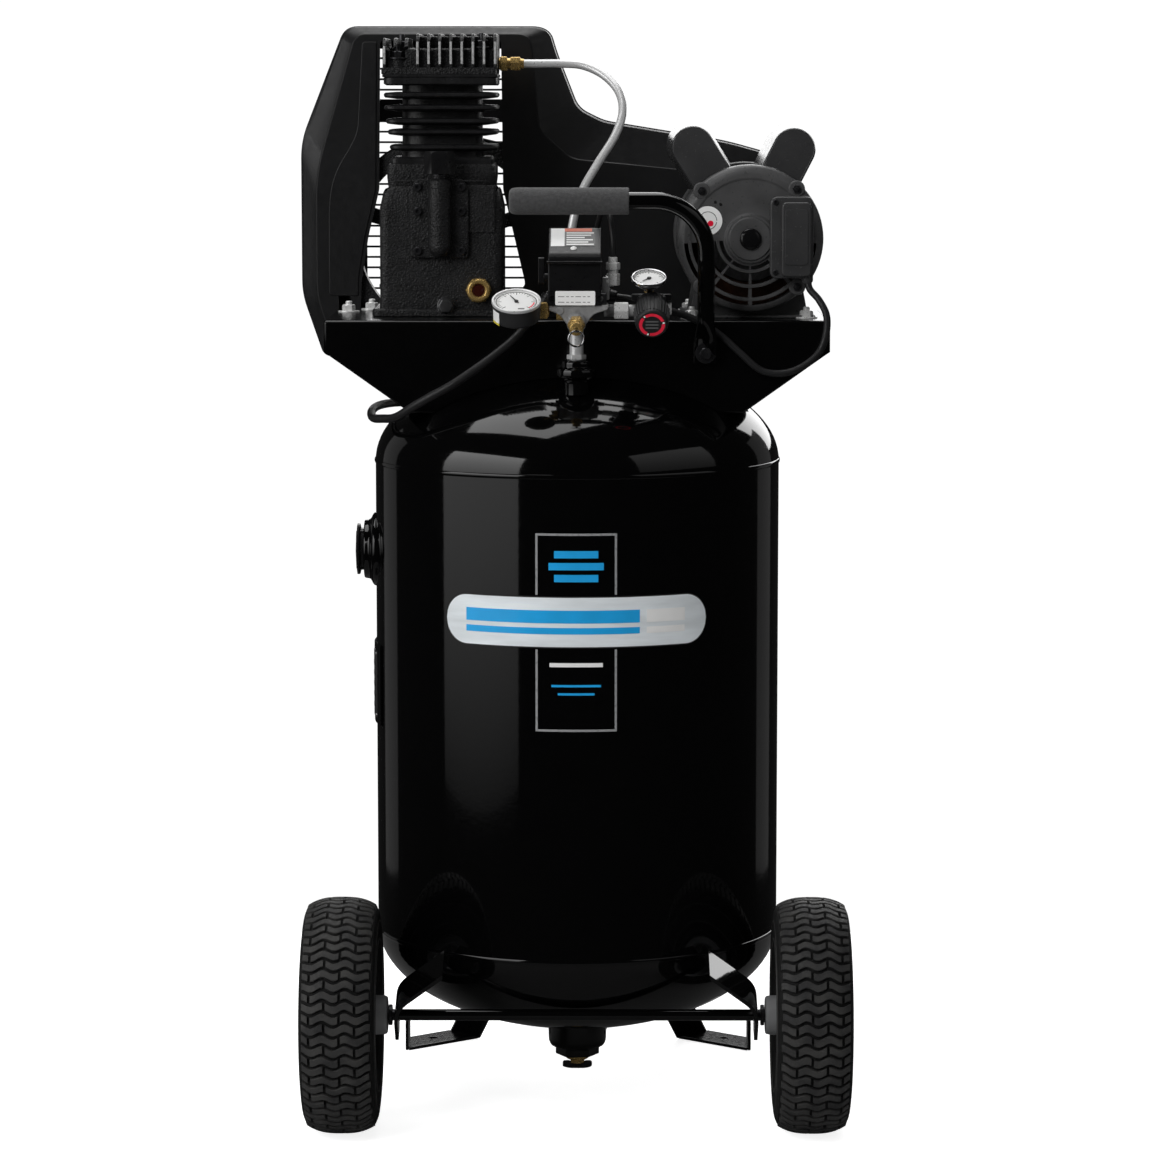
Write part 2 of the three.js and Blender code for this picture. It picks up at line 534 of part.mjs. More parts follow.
function buildMotor() {
  const { x, z, shell, bell, front, rear } = MOTOR;
  const at = [x, 0, z];
  const shaftwise = [0, 1, 0];
  const bellFront = front + 38;
  const bellRear = rear - 40;
  const shellBody = cut(rod([x, bellFront + GAP, z], [x, bellRear - GAP, z], shell, 40),
    rod([x, bellFront - 5, z], [x, bellRear + 5, z], shell - 3, 40));
  const base = box([x - 66, x + 66], [-48, 92], [DECK.top + GAP, 896]);
  const saddles = [[-40, -34], [74, 80]].map((range) =>
    cut(slab("xz", outline([[x - 60, 895], [x + 60, 895], [x + 46, 930], [x - 46, 930]]), range),
      rod([x, range[0] - 5, z], [x, range[1] + 5, z], shell - 1, 40)));
  add("motor_shell", join(shellBody, base, ...saddles), "castIron");

  const bellProfile = [
    [8.3, 0], [26, 0], [26, 6], [bell - 6, 9], [bell, 14], [bell, 38], [bell - 4, 38],
    [bell - 4, 15], [20, 13], [20, 22], [8.3, 22]];
  const vents = [[196, 250], [256, 310]].flatMap(([from, to]) => [39, 55].map((radius) =>
    slab("xz", bandOutline(radius, radius + 10, from, to), [-5, 30])));
  const frontVents = vents.map((vent) => moved(vent, [x, front, z]));
  const frontBell = cut(turned(bellProfile, [x, front, z], [0, 1, 0], 24), ...frontVents);
  add("motor_front_bell", frontBell, "castIron");
  add("motor_rear_bell", turned(bellProfile, [x, rear, z], [0, -1, 0], 24), "castIron");

  add("motor_stator", ring(50, shell - 3 - GAP, -42, 74, at, shaftwise, 28), "copper");
  const rotor = join(
    rod([x, -40, z], [x, 72, z], 49, 24),
    rod([x, front + 3, z], [x, BELT.y + 14, z], 8, 12),
    ring(7, 40, 80, 86, at, shaftwise, 16));
  add("rotor", rotor, "darkSteel");

  add("capacitor_cover_left", capacitorCover(CAPACITORS.left), "glossBlack");
  add("capacitor_cover_right", capacitorCover(CAPACITORS.right), "glossBlack");

  const lid = join(
    slab("xz", outline([[213, 937], [261, 937], [261, 1027], [213, 1027]], 8), [front - 15, front - GAP]),
    slab("xz", outline([[225, 940], [259, 940], [259, 1021], [225, 1021]], 5), [front - 20, front - 14]));
  add("terminal_cover", lid, "blackPlastic");

  const groove = BELT.pulleyRadius - GAP;
  const half = BELT.width / 2 + GAP;
  const pulley = turned([
    [8 + GAP, -12], [36, -12], [36, -half], [groove, -half], [groove, half], [36, half], [36, 12],
    [8 + GAP, 12]], [x, BELT.y, z], [0, 1, 0], 20);
  add("motor_pulley", pulley, "darkSteel");
}

const moved = (solid, by) => {
  const geometry = geometryOf(solid);
  geometry.translate(by[0], by[1], by[2]);
  return solidFrom(geometry);
};

// A curved slot between two radii and two angles, in degrees.
function bandOutline(inner, outer, from, to) {
  const keep = (u, v) => [u, v];
  return outline([
    ...arcPoints([0, 0], outer, from, to, 5, keep),
    ...arcPoints([0, 0], inner, to, from, 5, keep)]);
}

// The line of a belt round two pulleys, at a distance from its inner face.
function beltLine(offset) {
  const big = BELT.wheelRadius + offset;
  const small = BELT.pulleyRadius + offset;
  const dx = MOTOR.x - PUMP.x;
  const dz = MOTOR.z - PUMP.crankZ;
  const tilt = THREE.MathUtils.radToDeg(Math.atan2(dz, dx));
  const wrap = THREE.MathUtils.radToDeg(Math.acos((big - small) / Math.hypot(dx, dz)));
  const keep = (u, v) => [u, v];
  return [
    ...arcPoints([PUMP.x, PUMP.crankZ], big, tilt + wrap, tilt + 360 - wrap, 24, keep),
    ...arcPoints([MOTOR.x, MOTOR.z], small, tilt - wrap, tilt + wrap, 10, keep)];
}

function buildBelt() {
  const range = [BELT.y - BELT.width / 2, BELT.y + BELT.width / 2];
  const outer = slab("xz", outline(beltLine(BELT.thickness)), range);
  const inner = slab("xz", outline(beltLine(0)), [range[0] - 1, range[1] + 1]);
  add("drive_belt", cut(outer, inner), "rubber");
}

// ---------------------------------------------------------------- belt guard

const GUARD_LINE = [
  [-271, 1216, 14], [-34, 1216, 20], [-26, 1188, 12], [0, 1122, 12], [30, 1107, 10], [171, 1084, 20],
  [236, 1066, 26], [262, 1020, 20], [262, 833, 12], [-298, 833, 10], [-323, 906, 16], [-323, 1084, 20]];

// The guard's outline moved inwards by the thickness of its wall.
function guardLine(inset) {
  const at = (i) => new THREE.Vector2(...GUARD_LINE.at(i % GUARD_LINE.length).slice(0, 2));
  return GUARD_LINE.map(([, , radius], i) => {
    const before = at(i).sub(at(i - 1)).normalize();
    const after = at(i + 1).sub(at(i)).normalize();
    const inward = new THREE.Vector2(before.y + after.y, -before.x - after.x);
    const corner = at(i).add(inward.multiplyScalar(inset / (1 + before.dot(after))));
    return [corner.x, corner.y, radius];
  });
}

function guardShell(range, wallRange) {
  const body = slab("xz", outline(guardLine(0)), range, 3);
  const hollow = slab("xz", outline(guardLine(GUARD.wall)), wallRange, 3);
  return cut(body, hollow);
}

function buildGuard() {
  const { front, split, rear, wall } = GUARD;
  const frontHalf = guardShell([front, split - GAP], [front + wall, split + 1]);
  const pumpOpening = slab("xz", outline([
    [-229, 1200], [-89, 1200], [-87, 1029], [-62, 922], [-62, 880], [-254, 880], [-252, 924],
    [-244, 974], [-231, 1029]]), [front - 1, front + wall + 1]);
  const shaftHole = rod([MOTOR.x, front - 5, MOTOR.z], [MOTOR.x, front + 5, MOTOR.z], 22, 24);
  add("belt_guard_front", cut(frontHalf, pumpOpening, shaftHole), "blackPlastic");

  const rearHalf = guardShell([split, rear], [split - 1, rear - wall]);
  const slots = Array.from({ length: GRILLE.count }, (_, i) => GRILLE.bottom + GRILLE.pitch * i)
    .filter((low) => low + GRILLE.gap < GRILLE.barLow || low > GRILLE.barHigh)
    .map((low) => box([GRILLE.left, GRILLE.right], [rear - 5, rear + 5], [low, low + GRILLE.gap]));
  add("belt_guard_rear", cut(rearHalf, ...slots), "blackPlastic");
}

// ---------------------------------------------------------------- air line and controls

function buildAirLine() {
  const cylinderY = PUMP.cylinderY;
  const outlet = [HEAD.right + GAP, cylinderY, 1173];
  const fitting = join(
    hex(outlet, [-79, cylinderY, 1173], 16),
    rod([-80, cylinderY, 1173], [-74, cylinderY, 1173], 6.5, 16),
    hex([-75, cylinderY, 1173], [-64, cylinderY, 1173], 14));
  const tube = pipe([
    [-70, cylinderY, 1173], [-44, 24, 1173], [-18, 22, 1173], [6, 18, 1171], [30, 8, 1160], [47, -8, 1141],
    [51, -22, 1120], [43, -36, 1094], [23, -48, 1062], [5, -56, 1030], [-5, -60, 994], [-8, -60, 955],
    [-8, -60, 918]], 4.75, 8, 28);
  add("discharge_tube", join(fitting, tube), "aluminium");

  const { x, y } = CHECK_PORT;
  const valve = cut(
    join(
      rod([x, y, 832], [x, y, 851], CHECK_PORT.bore - GAP, 16),
      hex([x, y, 850 + GAP], [x, y, 900], 26),
      rod([x, y, 899], [x, y, 917], 8, 16),
      rod([x, y, 896], [x + 24.5, y, 896], 4.5, 12),
      rod([x + 20, y, 896], [x + 20, y, 906], 4.4, 12)),
    rod([x, y, 830], [x, y, 905], 4, 12));
  add("check_valve", valve, "brass");
}

function buildManifold() {
  const { x, y } = OUTLET;
  const castBody = slab("xz", outline([
    [-34, 911.5], [34, 911.5], [37, 902], [20, 894], [8, 884], [-8, 884], [-20, 894], [-37, 902]], 2),
  [y - 22, y + 22]);
  const riser = rod([x, y, 828], [x, y, 890], OUTLET.bore - GAP, 14);
  const valveBoss = rod([x, y - 20, 893], [x, y - 30, 891], 10, 12);
  const gaugeArm = rod([-30, y, 904], [-40, y, 904], 7, 12);
  const nipple = join(
    rod([30, y, 904], [66, y, 904], 7, 14),
    hex([40, y, 904], [58, y, 904], 18));
  add("manifold", join(castBody, riser, valveBoss, gaugeArm, nipple), "aluminium");

  const down = [0, -0.97, -0.24];
  const start = [0, y - 32.9, 892];
  const tip = along(start, down, 24);
  const body = join(hex(start, along(start, down, 12), 17), rod(along(start, down, 11), tip, 6.5, 12));
  add("safety_valve_body", cut(body, rod(along(tip, down, 1), along(tip, down, -9), 2.2, 8)), "brass");
  const pull = join(
    rod(along(tip, down, -8), along(tip, down, 6), 1.8, 8),
    turned(circleProfile(8, 1.1), along(along(tip, down, 5), [0, 0, -1], 9), [0, 1, 0], 14));
  add("safety_ring", pull, "steel");
}

// The profile of a ring of round wire.
function circleProfile(ringRadius, wireRadius) {
  return Array.from({ length: 6 }, (_, i) => {
    const angle = (Math.PI * i) / 3;
    return [ringRadius + wireRadius * Math.cos(angle), wireRadius * Math.sin(angle)];
  });
}

function buildPressureSwitch() {
  const base = join(
    box([-33, 33], [-172, -100], [911.8, 924]),
    box([30, 40], [-118, -106], [914, 922]));
  const unloader = join(
    hex([40, -140, 936], [40, -140, 950], 15),
    rod([40, -140, 949], [40, -140, 962], 5.5, 14),
    rod([32, -140, 936], [41, -140, 936], 6, 12),
    box([28, 36], [-146, -134], [915, 940]));
  const cordGland = rod([-30, -118, 918], [-41.2, -119, 903.8], 8, 14, 6.4);
  const cableGland = rod([32, -112, 919], [44, -113, 917], 8, 14, 6.5);
  add("pressure_switch_base", join(base, unloader, cordGland, cableGland), "darkSteel");

  const profile = outline([
    [-174, 924 + GAP], [-98, 924 + GAP], [-98, 991], [-110, 992], [-176, 962], [-178, 957], [-174, 955]]);
  const inner = outline([[-171, 920], [-101, 920], [-101, 986], [-110, 987], [-171, 958]]);
  const cover = cut(slab("yz", profile, [-31, 27]), slab("yz", inner, [-28, 24]));
  const leverSlot = box([-35, -25], [-152, -132], [935, 962]);
  add("pressure_switch_cover", cut(cover, leverSlot), "blackPlastic");

  const lever = join(
    rod([-22, -142, 940], [-36, -142, 940], 4.5, 12),
    box([-42, -35], [-145.5, -138.5], [932, 962]));
  add("switch_lever", lever, "blackPlastic");

  add("unloader_tube", pipe([
    [40, -140, 962.3], [40, -140, 980], [38, -136, 999], [34, -121, 1014], [28, -101, 1011], [22, -85, 990],
    [17, -72, 955], [13, -62, 925], [12, -60, 906.4]], 3, 8, 18), "rubber");
}

function gaugeNormal() {
  return [0, -Math.sin(rad(GAUGE_LEAN)), Math.cos(rad(GAUGE_LEAN))];
}

function needle(gauge, length, turn) {
  const normal = gaugeNormal();
  const centre = [gauge.x, gauge.y, gauge.z];
  const pivot = rod(along(centre, normal, -2.6), along(centre, normal, -0.8), 2, 10);
  const tilt = (solid) => turnAbout(solid, centre, [1, 0, 0], GAUGE_LEAN);
  const blade = tilt(box(
    [gauge.x - 0.8, gauge.x + 0.8], [gauge.y - length * 0.3, gauge.y + length], [gauge.z - 2.0, gauge.z - 1.2]));
  return turnAbout(join(pivot, blade), centre, normal, turn);
}

function buildGauges() {
  const normal = gaugeNormal();
  const caseOf = ({ radius, depth }) => [
    [0, -depth], [radius - 3, -depth], [radius - 1.5, -6], [radius, -5], [radius, 0], [radius - 2.5, 0],
    [radius - 2.5, -3], [0, -3]];
  const tankCentre = [TANK_GAUGE.x, TANK_GAUGE.y, TANK_GAUGE.z];
  const gaugeBody = turned(caseOf(TANK_GAUGE), tankCentre, normal, 24);
  const elbow = hex([-44, OUTLET.y - 22, 905], [-44, OUTLET.y + 7, 905], 12);
  const stub = rod([-44, OUTLET.y - 20, 905], [-52, -182, 906], 5, 12);
  const joined = join(gaugeBody, stub, cut(elbow, box([-41.3, -30], [-190, -130], [890, 920])));
  add("tank_gauge", cut(joined, box([-40.3, -30], [-200, -130], [880, 930])), "brass");
  add("tank_gauge_needle", needle(TANK_GAUGE, 15, 28), "darkSteel");

  const regulatorCentre = [REGULATOR_GAUGE.x, REGULATOR_GAUGE.y, REGULATOR_GAUGE.z];
  const small = turned(caseOf(REGULATOR_GAUGE), regulatorCentre, normal, 20);
  const below = along(regulatorCentre, normal, -REGULATOR_GAUGE.depth);
  const stem = hex(along(below, normal, 1), [REGULATOR_GAUGE.x, -158, 925.5], 9);
  add("regulator_gauge", join(small, stem), "steel");
  add("regulator_gauge_needle", needle(REGULATOR_GAUGE, 10, 135), "darkSteel");
}

function buildRegulator() {
  const dip = rad(KNOB.dip);
  const out = [0, -Math.cos(dip), -Math.sin(dip)];
  const face = [KNOB.x, KNOB.y, KNOB.z];
  const knobBack = along(face, out, -KNOB.length);
  const seat = along(face, out, -KNOB.length - GAP);
  const root = along(face, out, -KNOB.length - 14);
  const body = join(
    rod(seat, root, 17, 20),
    box([66 + GAP, 99], [-162, -136], [892.3, 921]),
    rod([82, -137, 904], [82, -126, 904], 8, 12));
  const stemHole = rod(along(seat, out, 1), along(seat, out, -9), 4.4, 12);
  add("regulator_body", cut(body, stemHole), "castIron");

  const grip = rod(knobBack, face, KNOB.radius, 24, KNOB.radius - 2);
  const stem = rod(along(knobBack, out, -7), along(knobBack, out, 1), 4, 12);
  add("regulator_knob", join(grip, stem), "blackPlastic");
}

// ---------------------------------------------------------------- cables

const MOTOR_CABLE = [
  [255, -103, 935.6], [257, -105, 926], [267, -112, 914], [275, -119, 898], [275, -122, 878], [268, -124, 858],
  [252, -125, 843], [230, -124, 834], [205, -123, 836], [180, -121, 856], [160, -118.6, 874],
  [142, -118.2, 886], [122, -118.4, 896], [100, -118, 903], [75, -116, 911], [58, -114, 915], [44.5, -113, 916.9]];

const POWER_CORD = [
  [-41.7, -119, 903.2], [-46.8, -119.5, 896.7], [-54, -123, 887], [-67, -130, 873], [-85, -137, 858],
  [-110, -143, 840], [-137, -145, 822], [-160, -139, 809], [-180, -129, 797], [-200, -112, 784],
  [-217, -82, 780], [-229, -45, 778], [-233, 0, 782], [-226, 52, 785], [-204, 104, 784], [-168, 151, 778],
  [-132, 184, 766], [-104, 210, 746], [-84, 223.5, 706], [-70, 228, 650], [-61, 230, 570], [-56, 230.5, 460],
  [-55, 230.5, 340], [-55, 231, 220], [-55, 233, 120], [-55, 240, 68], [-55, 256, 33], [-55, 280, 19],
  [-55, 301, 15.5]];

function buildCables() {
  add("motor_cable", pipe(MOTOR_CABLE, 4, 8, 36), "rubber");
  add("power_cord", pipe(POWER_CORD, CORD_RADIUS, 8, 52), "rubber");
  const { x, y, inner, outer, height } = COIL;
  add("power_cord_coil", ring(inner, outer, 0.2, height, [x, y, 0], [0, 0, 1], 36), "rubber");
  const plugY = y + outer - CORD_RADIUS;
  const plug = join(
    box([x + 60, x + 95], [plugY - 14, plugY + 14], [0.2, 24]),
    rod([x + 37, plugY, 5.6], [x + 61, plugY, 12], 5.2, 12, 8),
    ...[-6.4, 6.4].map((dy) => box([x + 94, x + 112], [plugY + dy - 0.8, plugY + dy + 0.8], [9, 15])));
  add("power_plug", plug, "blackPlastic");
}

buildTank();
buildDeck();
buildFeet();
buildRunningGear();
buildHandle();
buildCrankcase();
buildCylinder();
buildPumpMotion();
buildMotor();
buildBelt();
buildGuard();
buildAirLine();
buildManifold();
buildPressureSwitch();
buildGauges();
buildRegulator();
buildCables();

compressor.position.set(-FOOTPRINT_CENTRE.x, -FOOTPRINT_CENTRE.y, 0);

export default compressor;
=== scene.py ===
"""Looks of the vertical tank compressor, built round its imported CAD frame.

Lengths are millimetres from the tank's axis at floor level: +X is the motor's side, the user
stands at -Y and +Z is up. Every shape is a pair (points, faces). A Form gathers shapes and
becomes one piece, in metres, where the frame has the tank.
"""
import json
import math

import bmesh
import bpy
from mathutils import Matrix, Vector
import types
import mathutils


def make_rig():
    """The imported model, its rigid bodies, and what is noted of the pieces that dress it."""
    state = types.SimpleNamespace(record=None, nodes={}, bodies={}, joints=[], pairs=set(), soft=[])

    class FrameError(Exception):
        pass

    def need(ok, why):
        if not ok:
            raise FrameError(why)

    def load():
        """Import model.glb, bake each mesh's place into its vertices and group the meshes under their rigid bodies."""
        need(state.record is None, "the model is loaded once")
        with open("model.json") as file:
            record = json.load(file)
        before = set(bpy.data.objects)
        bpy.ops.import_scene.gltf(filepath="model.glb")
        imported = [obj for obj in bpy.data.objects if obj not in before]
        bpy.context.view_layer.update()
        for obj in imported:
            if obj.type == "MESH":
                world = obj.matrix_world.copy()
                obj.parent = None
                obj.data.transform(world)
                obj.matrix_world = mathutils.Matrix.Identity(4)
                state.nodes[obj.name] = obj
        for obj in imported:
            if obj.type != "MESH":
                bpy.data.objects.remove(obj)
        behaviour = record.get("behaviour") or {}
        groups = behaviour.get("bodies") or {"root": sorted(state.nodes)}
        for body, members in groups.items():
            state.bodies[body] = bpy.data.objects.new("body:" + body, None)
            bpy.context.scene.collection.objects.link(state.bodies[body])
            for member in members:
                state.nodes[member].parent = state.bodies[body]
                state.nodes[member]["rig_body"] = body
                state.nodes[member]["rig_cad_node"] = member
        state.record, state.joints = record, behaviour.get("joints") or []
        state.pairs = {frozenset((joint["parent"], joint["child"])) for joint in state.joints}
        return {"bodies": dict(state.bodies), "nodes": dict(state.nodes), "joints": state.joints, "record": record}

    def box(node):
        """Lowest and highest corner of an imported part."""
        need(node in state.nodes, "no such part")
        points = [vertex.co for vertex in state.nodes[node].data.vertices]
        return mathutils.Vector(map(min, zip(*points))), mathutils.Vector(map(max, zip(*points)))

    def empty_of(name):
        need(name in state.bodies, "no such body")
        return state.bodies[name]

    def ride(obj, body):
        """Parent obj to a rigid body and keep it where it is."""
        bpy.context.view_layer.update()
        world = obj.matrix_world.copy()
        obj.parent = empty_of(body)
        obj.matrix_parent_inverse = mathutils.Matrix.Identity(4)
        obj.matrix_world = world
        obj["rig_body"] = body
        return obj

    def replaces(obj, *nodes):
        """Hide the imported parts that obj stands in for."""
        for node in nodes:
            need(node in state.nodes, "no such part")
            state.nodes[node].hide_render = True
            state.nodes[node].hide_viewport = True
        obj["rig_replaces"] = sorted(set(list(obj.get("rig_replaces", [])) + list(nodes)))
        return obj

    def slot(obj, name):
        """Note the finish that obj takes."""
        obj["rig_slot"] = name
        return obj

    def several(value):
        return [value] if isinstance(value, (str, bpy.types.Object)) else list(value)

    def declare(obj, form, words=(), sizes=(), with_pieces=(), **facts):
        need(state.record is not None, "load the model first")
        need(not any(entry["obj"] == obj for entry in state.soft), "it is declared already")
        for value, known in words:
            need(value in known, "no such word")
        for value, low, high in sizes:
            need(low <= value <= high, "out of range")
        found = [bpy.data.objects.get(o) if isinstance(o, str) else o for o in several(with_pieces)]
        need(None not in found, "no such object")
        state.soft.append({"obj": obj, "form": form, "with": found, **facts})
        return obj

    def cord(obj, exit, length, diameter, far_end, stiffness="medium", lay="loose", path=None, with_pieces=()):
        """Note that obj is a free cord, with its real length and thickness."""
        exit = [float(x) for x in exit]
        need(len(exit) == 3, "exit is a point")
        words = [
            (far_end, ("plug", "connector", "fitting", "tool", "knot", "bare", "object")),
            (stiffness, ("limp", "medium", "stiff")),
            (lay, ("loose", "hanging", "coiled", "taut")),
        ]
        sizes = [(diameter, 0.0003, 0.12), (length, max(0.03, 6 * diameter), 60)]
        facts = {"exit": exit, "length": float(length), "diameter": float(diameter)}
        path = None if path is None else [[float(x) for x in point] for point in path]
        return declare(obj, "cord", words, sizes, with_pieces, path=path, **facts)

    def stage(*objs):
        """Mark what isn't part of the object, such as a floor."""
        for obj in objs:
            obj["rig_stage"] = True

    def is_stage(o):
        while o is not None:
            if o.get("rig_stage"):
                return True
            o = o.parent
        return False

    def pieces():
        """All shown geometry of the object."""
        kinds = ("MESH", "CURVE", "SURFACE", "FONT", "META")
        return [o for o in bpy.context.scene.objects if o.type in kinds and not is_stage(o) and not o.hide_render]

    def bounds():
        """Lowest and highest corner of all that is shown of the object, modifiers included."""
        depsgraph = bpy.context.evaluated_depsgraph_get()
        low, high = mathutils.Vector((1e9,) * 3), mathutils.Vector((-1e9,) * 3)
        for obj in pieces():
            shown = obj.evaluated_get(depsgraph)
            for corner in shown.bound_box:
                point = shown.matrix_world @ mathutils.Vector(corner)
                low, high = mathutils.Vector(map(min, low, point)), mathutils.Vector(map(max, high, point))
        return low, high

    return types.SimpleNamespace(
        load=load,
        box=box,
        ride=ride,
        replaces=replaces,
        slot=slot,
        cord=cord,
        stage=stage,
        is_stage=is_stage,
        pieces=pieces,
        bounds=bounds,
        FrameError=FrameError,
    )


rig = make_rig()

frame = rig.load()
CAD_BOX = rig.bounds()

MM = 0.001
HEAD_LOW, HEAD_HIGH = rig.box("tank_bottom_head")
AXIS = Vector(((HEAD_LOW.x + HEAD_HIGH.x) / 2, (HEAD_LOW.y + HEAD_HIGH.y) / 2, 0))
RECORD = frame["record"]
BODY_OF = {n: body for body, nodes in RECORD["behaviour"]["bodies"].items() for n in nodes}
SLOT_OF = {part["node"]: part["material_slot"] for part in RECORD["subparts"]}
X, Y, Z, FRONT = (1, 0, 0), (0, 1, 0), (0, 0, 1), (0, -1, 0)
ORIGIN = (0, 0, 0)

# ------------------------------------------------------------------ driving dimensions

TANK = {"radius": 228.6, "wall": 3, "low": 193, "high": 728, "head": 114.3}
DECK = {"half": 280, "front": -113, "rear": 120, "top": 891, "side": 856, "panel": 788, "half_low": 184}
WHEEL = {"x": 258.5, "y": -203, "z": 130, "radius": 130, "rim": 66, "half": 37, "rows": 68}
PUMP = {"x": -152, "y": 25, "crank": 970, "front": -40, "rear": 90}
BELT = {"y": 172, "wheel": 116, "pulley": 28}
MOTOR = {"x": 192, "z": 980, "shell": 78, "bell": 81.5, "front": -95, "rear": 138}
GUARD = {"front": 150, "split": 192, "rear": 235, "wall": 2.5}
HANDLE = {"tube": 9.5, "grip": 14.7, "x": 142, "z": 1024, "bend": 57, "top_y": -177, "foot_y": -126,
          "foot_z": 862}
GAUGE_LEAN = 25
KNOB = {"x": 82, "y": -200, "z": 891, "radius": 19.5, "length": 31, "dip": 28}
CORD = {"radius": 5, "coil_y": 345, "low": 5, "high": 15}


def at(x, y, z):
    """A point given in millimetres from the tank's axis, in metres in the row frame."""
    return AXIS + Vector((x, y, z)) * MM


# ------------------------------------------------------------------ shapes

def place(plane, u, v, w):
    return {"xz": (u, w, v), "yz": (w, u, v), "xy": (u, v, w)}[plane]


def frame_at(origin, direction):
    """The matrix that carries +Z onto a direction, from a point."""
    return Matrix.Translation(origin) @ Vector(direction).to_track_quat("Z", "Y").to_matrix().to_4x4()


def spun(degrees, axis, centre=ORIGIN):
    """A turn about an axis through the origin, then a move to the centre."""
    return Matrix.Translation(centre) @ Matrix.Rotation(math.radians(degrees), 4, axis)


def turned_by(degrees, axis, centre):
    return spun(degrees, axis, centre) @ Matrix.Translation(centre).inverted()


def moved(shape, matrix):
    return [matrix @ Vector(p) for p in shape[0]], shape[1]


def together(*shapes):
    points, faces = [], []
    for more, sides in shapes:
        first = len(points)
        points += [Vector(p) for p in more]
        faces += [tuple(first + i for i in side) for side in sides]
    return points, faces


def skin(rings, caps=True, loop=False):
    """Quads between rings of as many points each, closed by caps or on itself."""
    count = len(rings[0])
    points = [Vector(p) for ring in rings for p in ring]
    faces = []
    for i in range(len(rings) if loop else len(rings) - 1):
        a, b = i * count, ((i + 1) % len(rings)) * count
        faces += [(a + j, a + (j + 1) % count, b + (j + 1) % count, b + j) for j in range(count)]
    if caps and not loop:
        last = (len(rings) - 1) * count
        faces.append(tuple(reversed(range(count))))
        faces.append(tuple(last + j for j in range(count)))
    return points, faces


def rounded(points, radius=0.0, steps=4, closed=True):
    """Corners [u, v] or [u, v, radius] joined by straight lines, each corner drawn as a curve."""
    made = []
    for i, point in enumerate(points):
        here = Vector(point[:2])
        reach = point[2] if len(point) > 2 else radius
        if not reach or (not closed and i in (0, len(points) - 1)):
            made.append(here)
            continue
        back = Vector(points[i - 1][:2]) - here
        ahead = Vector(points[(i + 1) % len(points)][:2]) - here
        start = here + back.normalized() * min(reach, back.length * 0.49)
        end = here + ahead.normalized() * min(reach, ahead.length * 0.49)
        for k in range(steps + 1):
            t = k / steps
            made.append(start * (1 - t) ** 2 + here * 2 * t * (1 - t) + end * t * t)
    return made


def curved(line, steps):
    """The line as it is, or rounded where any of its corners has a radius."""
    return rounded(line, 0, steps) if any(len(p) > 2 for p in line) else line


def arc(centre, radius, start, end, steps):
    """Points of an arc in a plane, between two angles in degrees."""
    angles = [math.radians(start + (end - start) * i / steps) for i in range(steps + 1)]
    return [Vector((centre[0] + radius * math.cos(a), centre[1] + radius * math.sin(a))) for a in angles]


def round_the_circle(count):
    return [2 * math.pi * i / count for i in range(count)]


def prism(outline, plane, low, high, steps=3):
    outline = curved(outline, steps)
    return skin([[place(plane, p[0], p[1], w) for p in outline] for w in (low, high)])


def block(x, y, z):
    return prism([(x[0], y[0]), (x[1], y[0]), (x[1], y[1]), (x[0], y[1])], "xy", z[0], z[1])


def box_outline(x, y, radius, steps=5):
    return rounded([(x[0], y[0]), (x[1], y[0]), (x[1], y[1]), (x[0], y[1])], radius, steps)


def loft(*levels, steps=5):
    """A body between boxes with rounded corners: (x0, x1, y0, y1, corner radius, height) for each."""
    return skin([[(*p, z) for p in box_outline((x0, x1), (y0, y1), radius, steps)]
                 for x0, x1, y0, y1, radius, z in levels])


def band(centre, inner, outer, start, end, low, high, plane="xz", steps=10):
    """A curved bar between two radii and two angles, in degrees."""
    line = [*arc(centre, outer, start, end, steps), *arc(centre, inner, end, start, steps)]
    return prism(line, plane, low, high)


def turned(profile, origin=ORIGIN, direction=Z, sides=48, steps=3, start=0, sweep=360):
    """A turned body from [radius, height] pairs, which start and end on the axis or close on themselves."""
    profile = curved(profile, steps)
    matrix = frame_at(origin, direction)
    hollow = profile[0][0] > 0 and profile[-1][0] > 0
    count = sides if sweep == 360 else sides + 1
    angles = [math.radians(start + sweep * i / sides) for i in range(count)]
    rings = [[matrix @ Vector((r * math.cos(a), r * math.sin(a), h)) for a in angles] for r, h in profile]
    if sweep == 360:
        return skin(rings, caps=False, loop=hollow)
    return skin([list(ring) for ring in zip(*rings)])


def rod(start, end, radius, end_radius=None, sides=24):
    span = Vector(end) - Vector(start)
    far = radius if end_radius is None else end_radius
    return turned([(0, 0), (radius, 0), (far, span.length), (0, span.length)], start, span, sides)


def hexagon(start, end, across):
    return rod(start, end, across / math.sqrt(3), sides=6)


def along(point, direction, distance):
    return Vector(point) + Vector(direction).normalized() * distance


def spline(points, steps=6):
    """A centripetal Catmull-Rom curve through the points."""
    known = [Vector(p) for p in points]
    known = [known[0] * 2 - known[1], *known, known[-1] * 2 - known[-2]]
    made = []
    for quad in zip(known, known[1:], known[2:], known[3:]):
        knots = [0.0]
        for p, q in zip(quad, quad[1:]):
            knots.append(knots[-1] + max((q - p).length, 1e-6) ** 0.5)

        def blend(p, q, i, j, t):
            return p * ((knots[j] - t) / (knots[j] - knots[i])) + q * ((t - knots[i]) / (knots[j] - knots[i]))

        for k in range(steps):
            t = knots[1] + (knots[2] - knots[1]) * k / steps
            ab, bc, cd = (blend(quad[i], quad[i + 1], i, i + 1, t) for i in range(3))
            made.append(blend(blend(ab, bc, 0, 2, t), blend(bc, cd, 1, 3, t), 1, 2, t))
    return [*made, Vector(points[-1])]


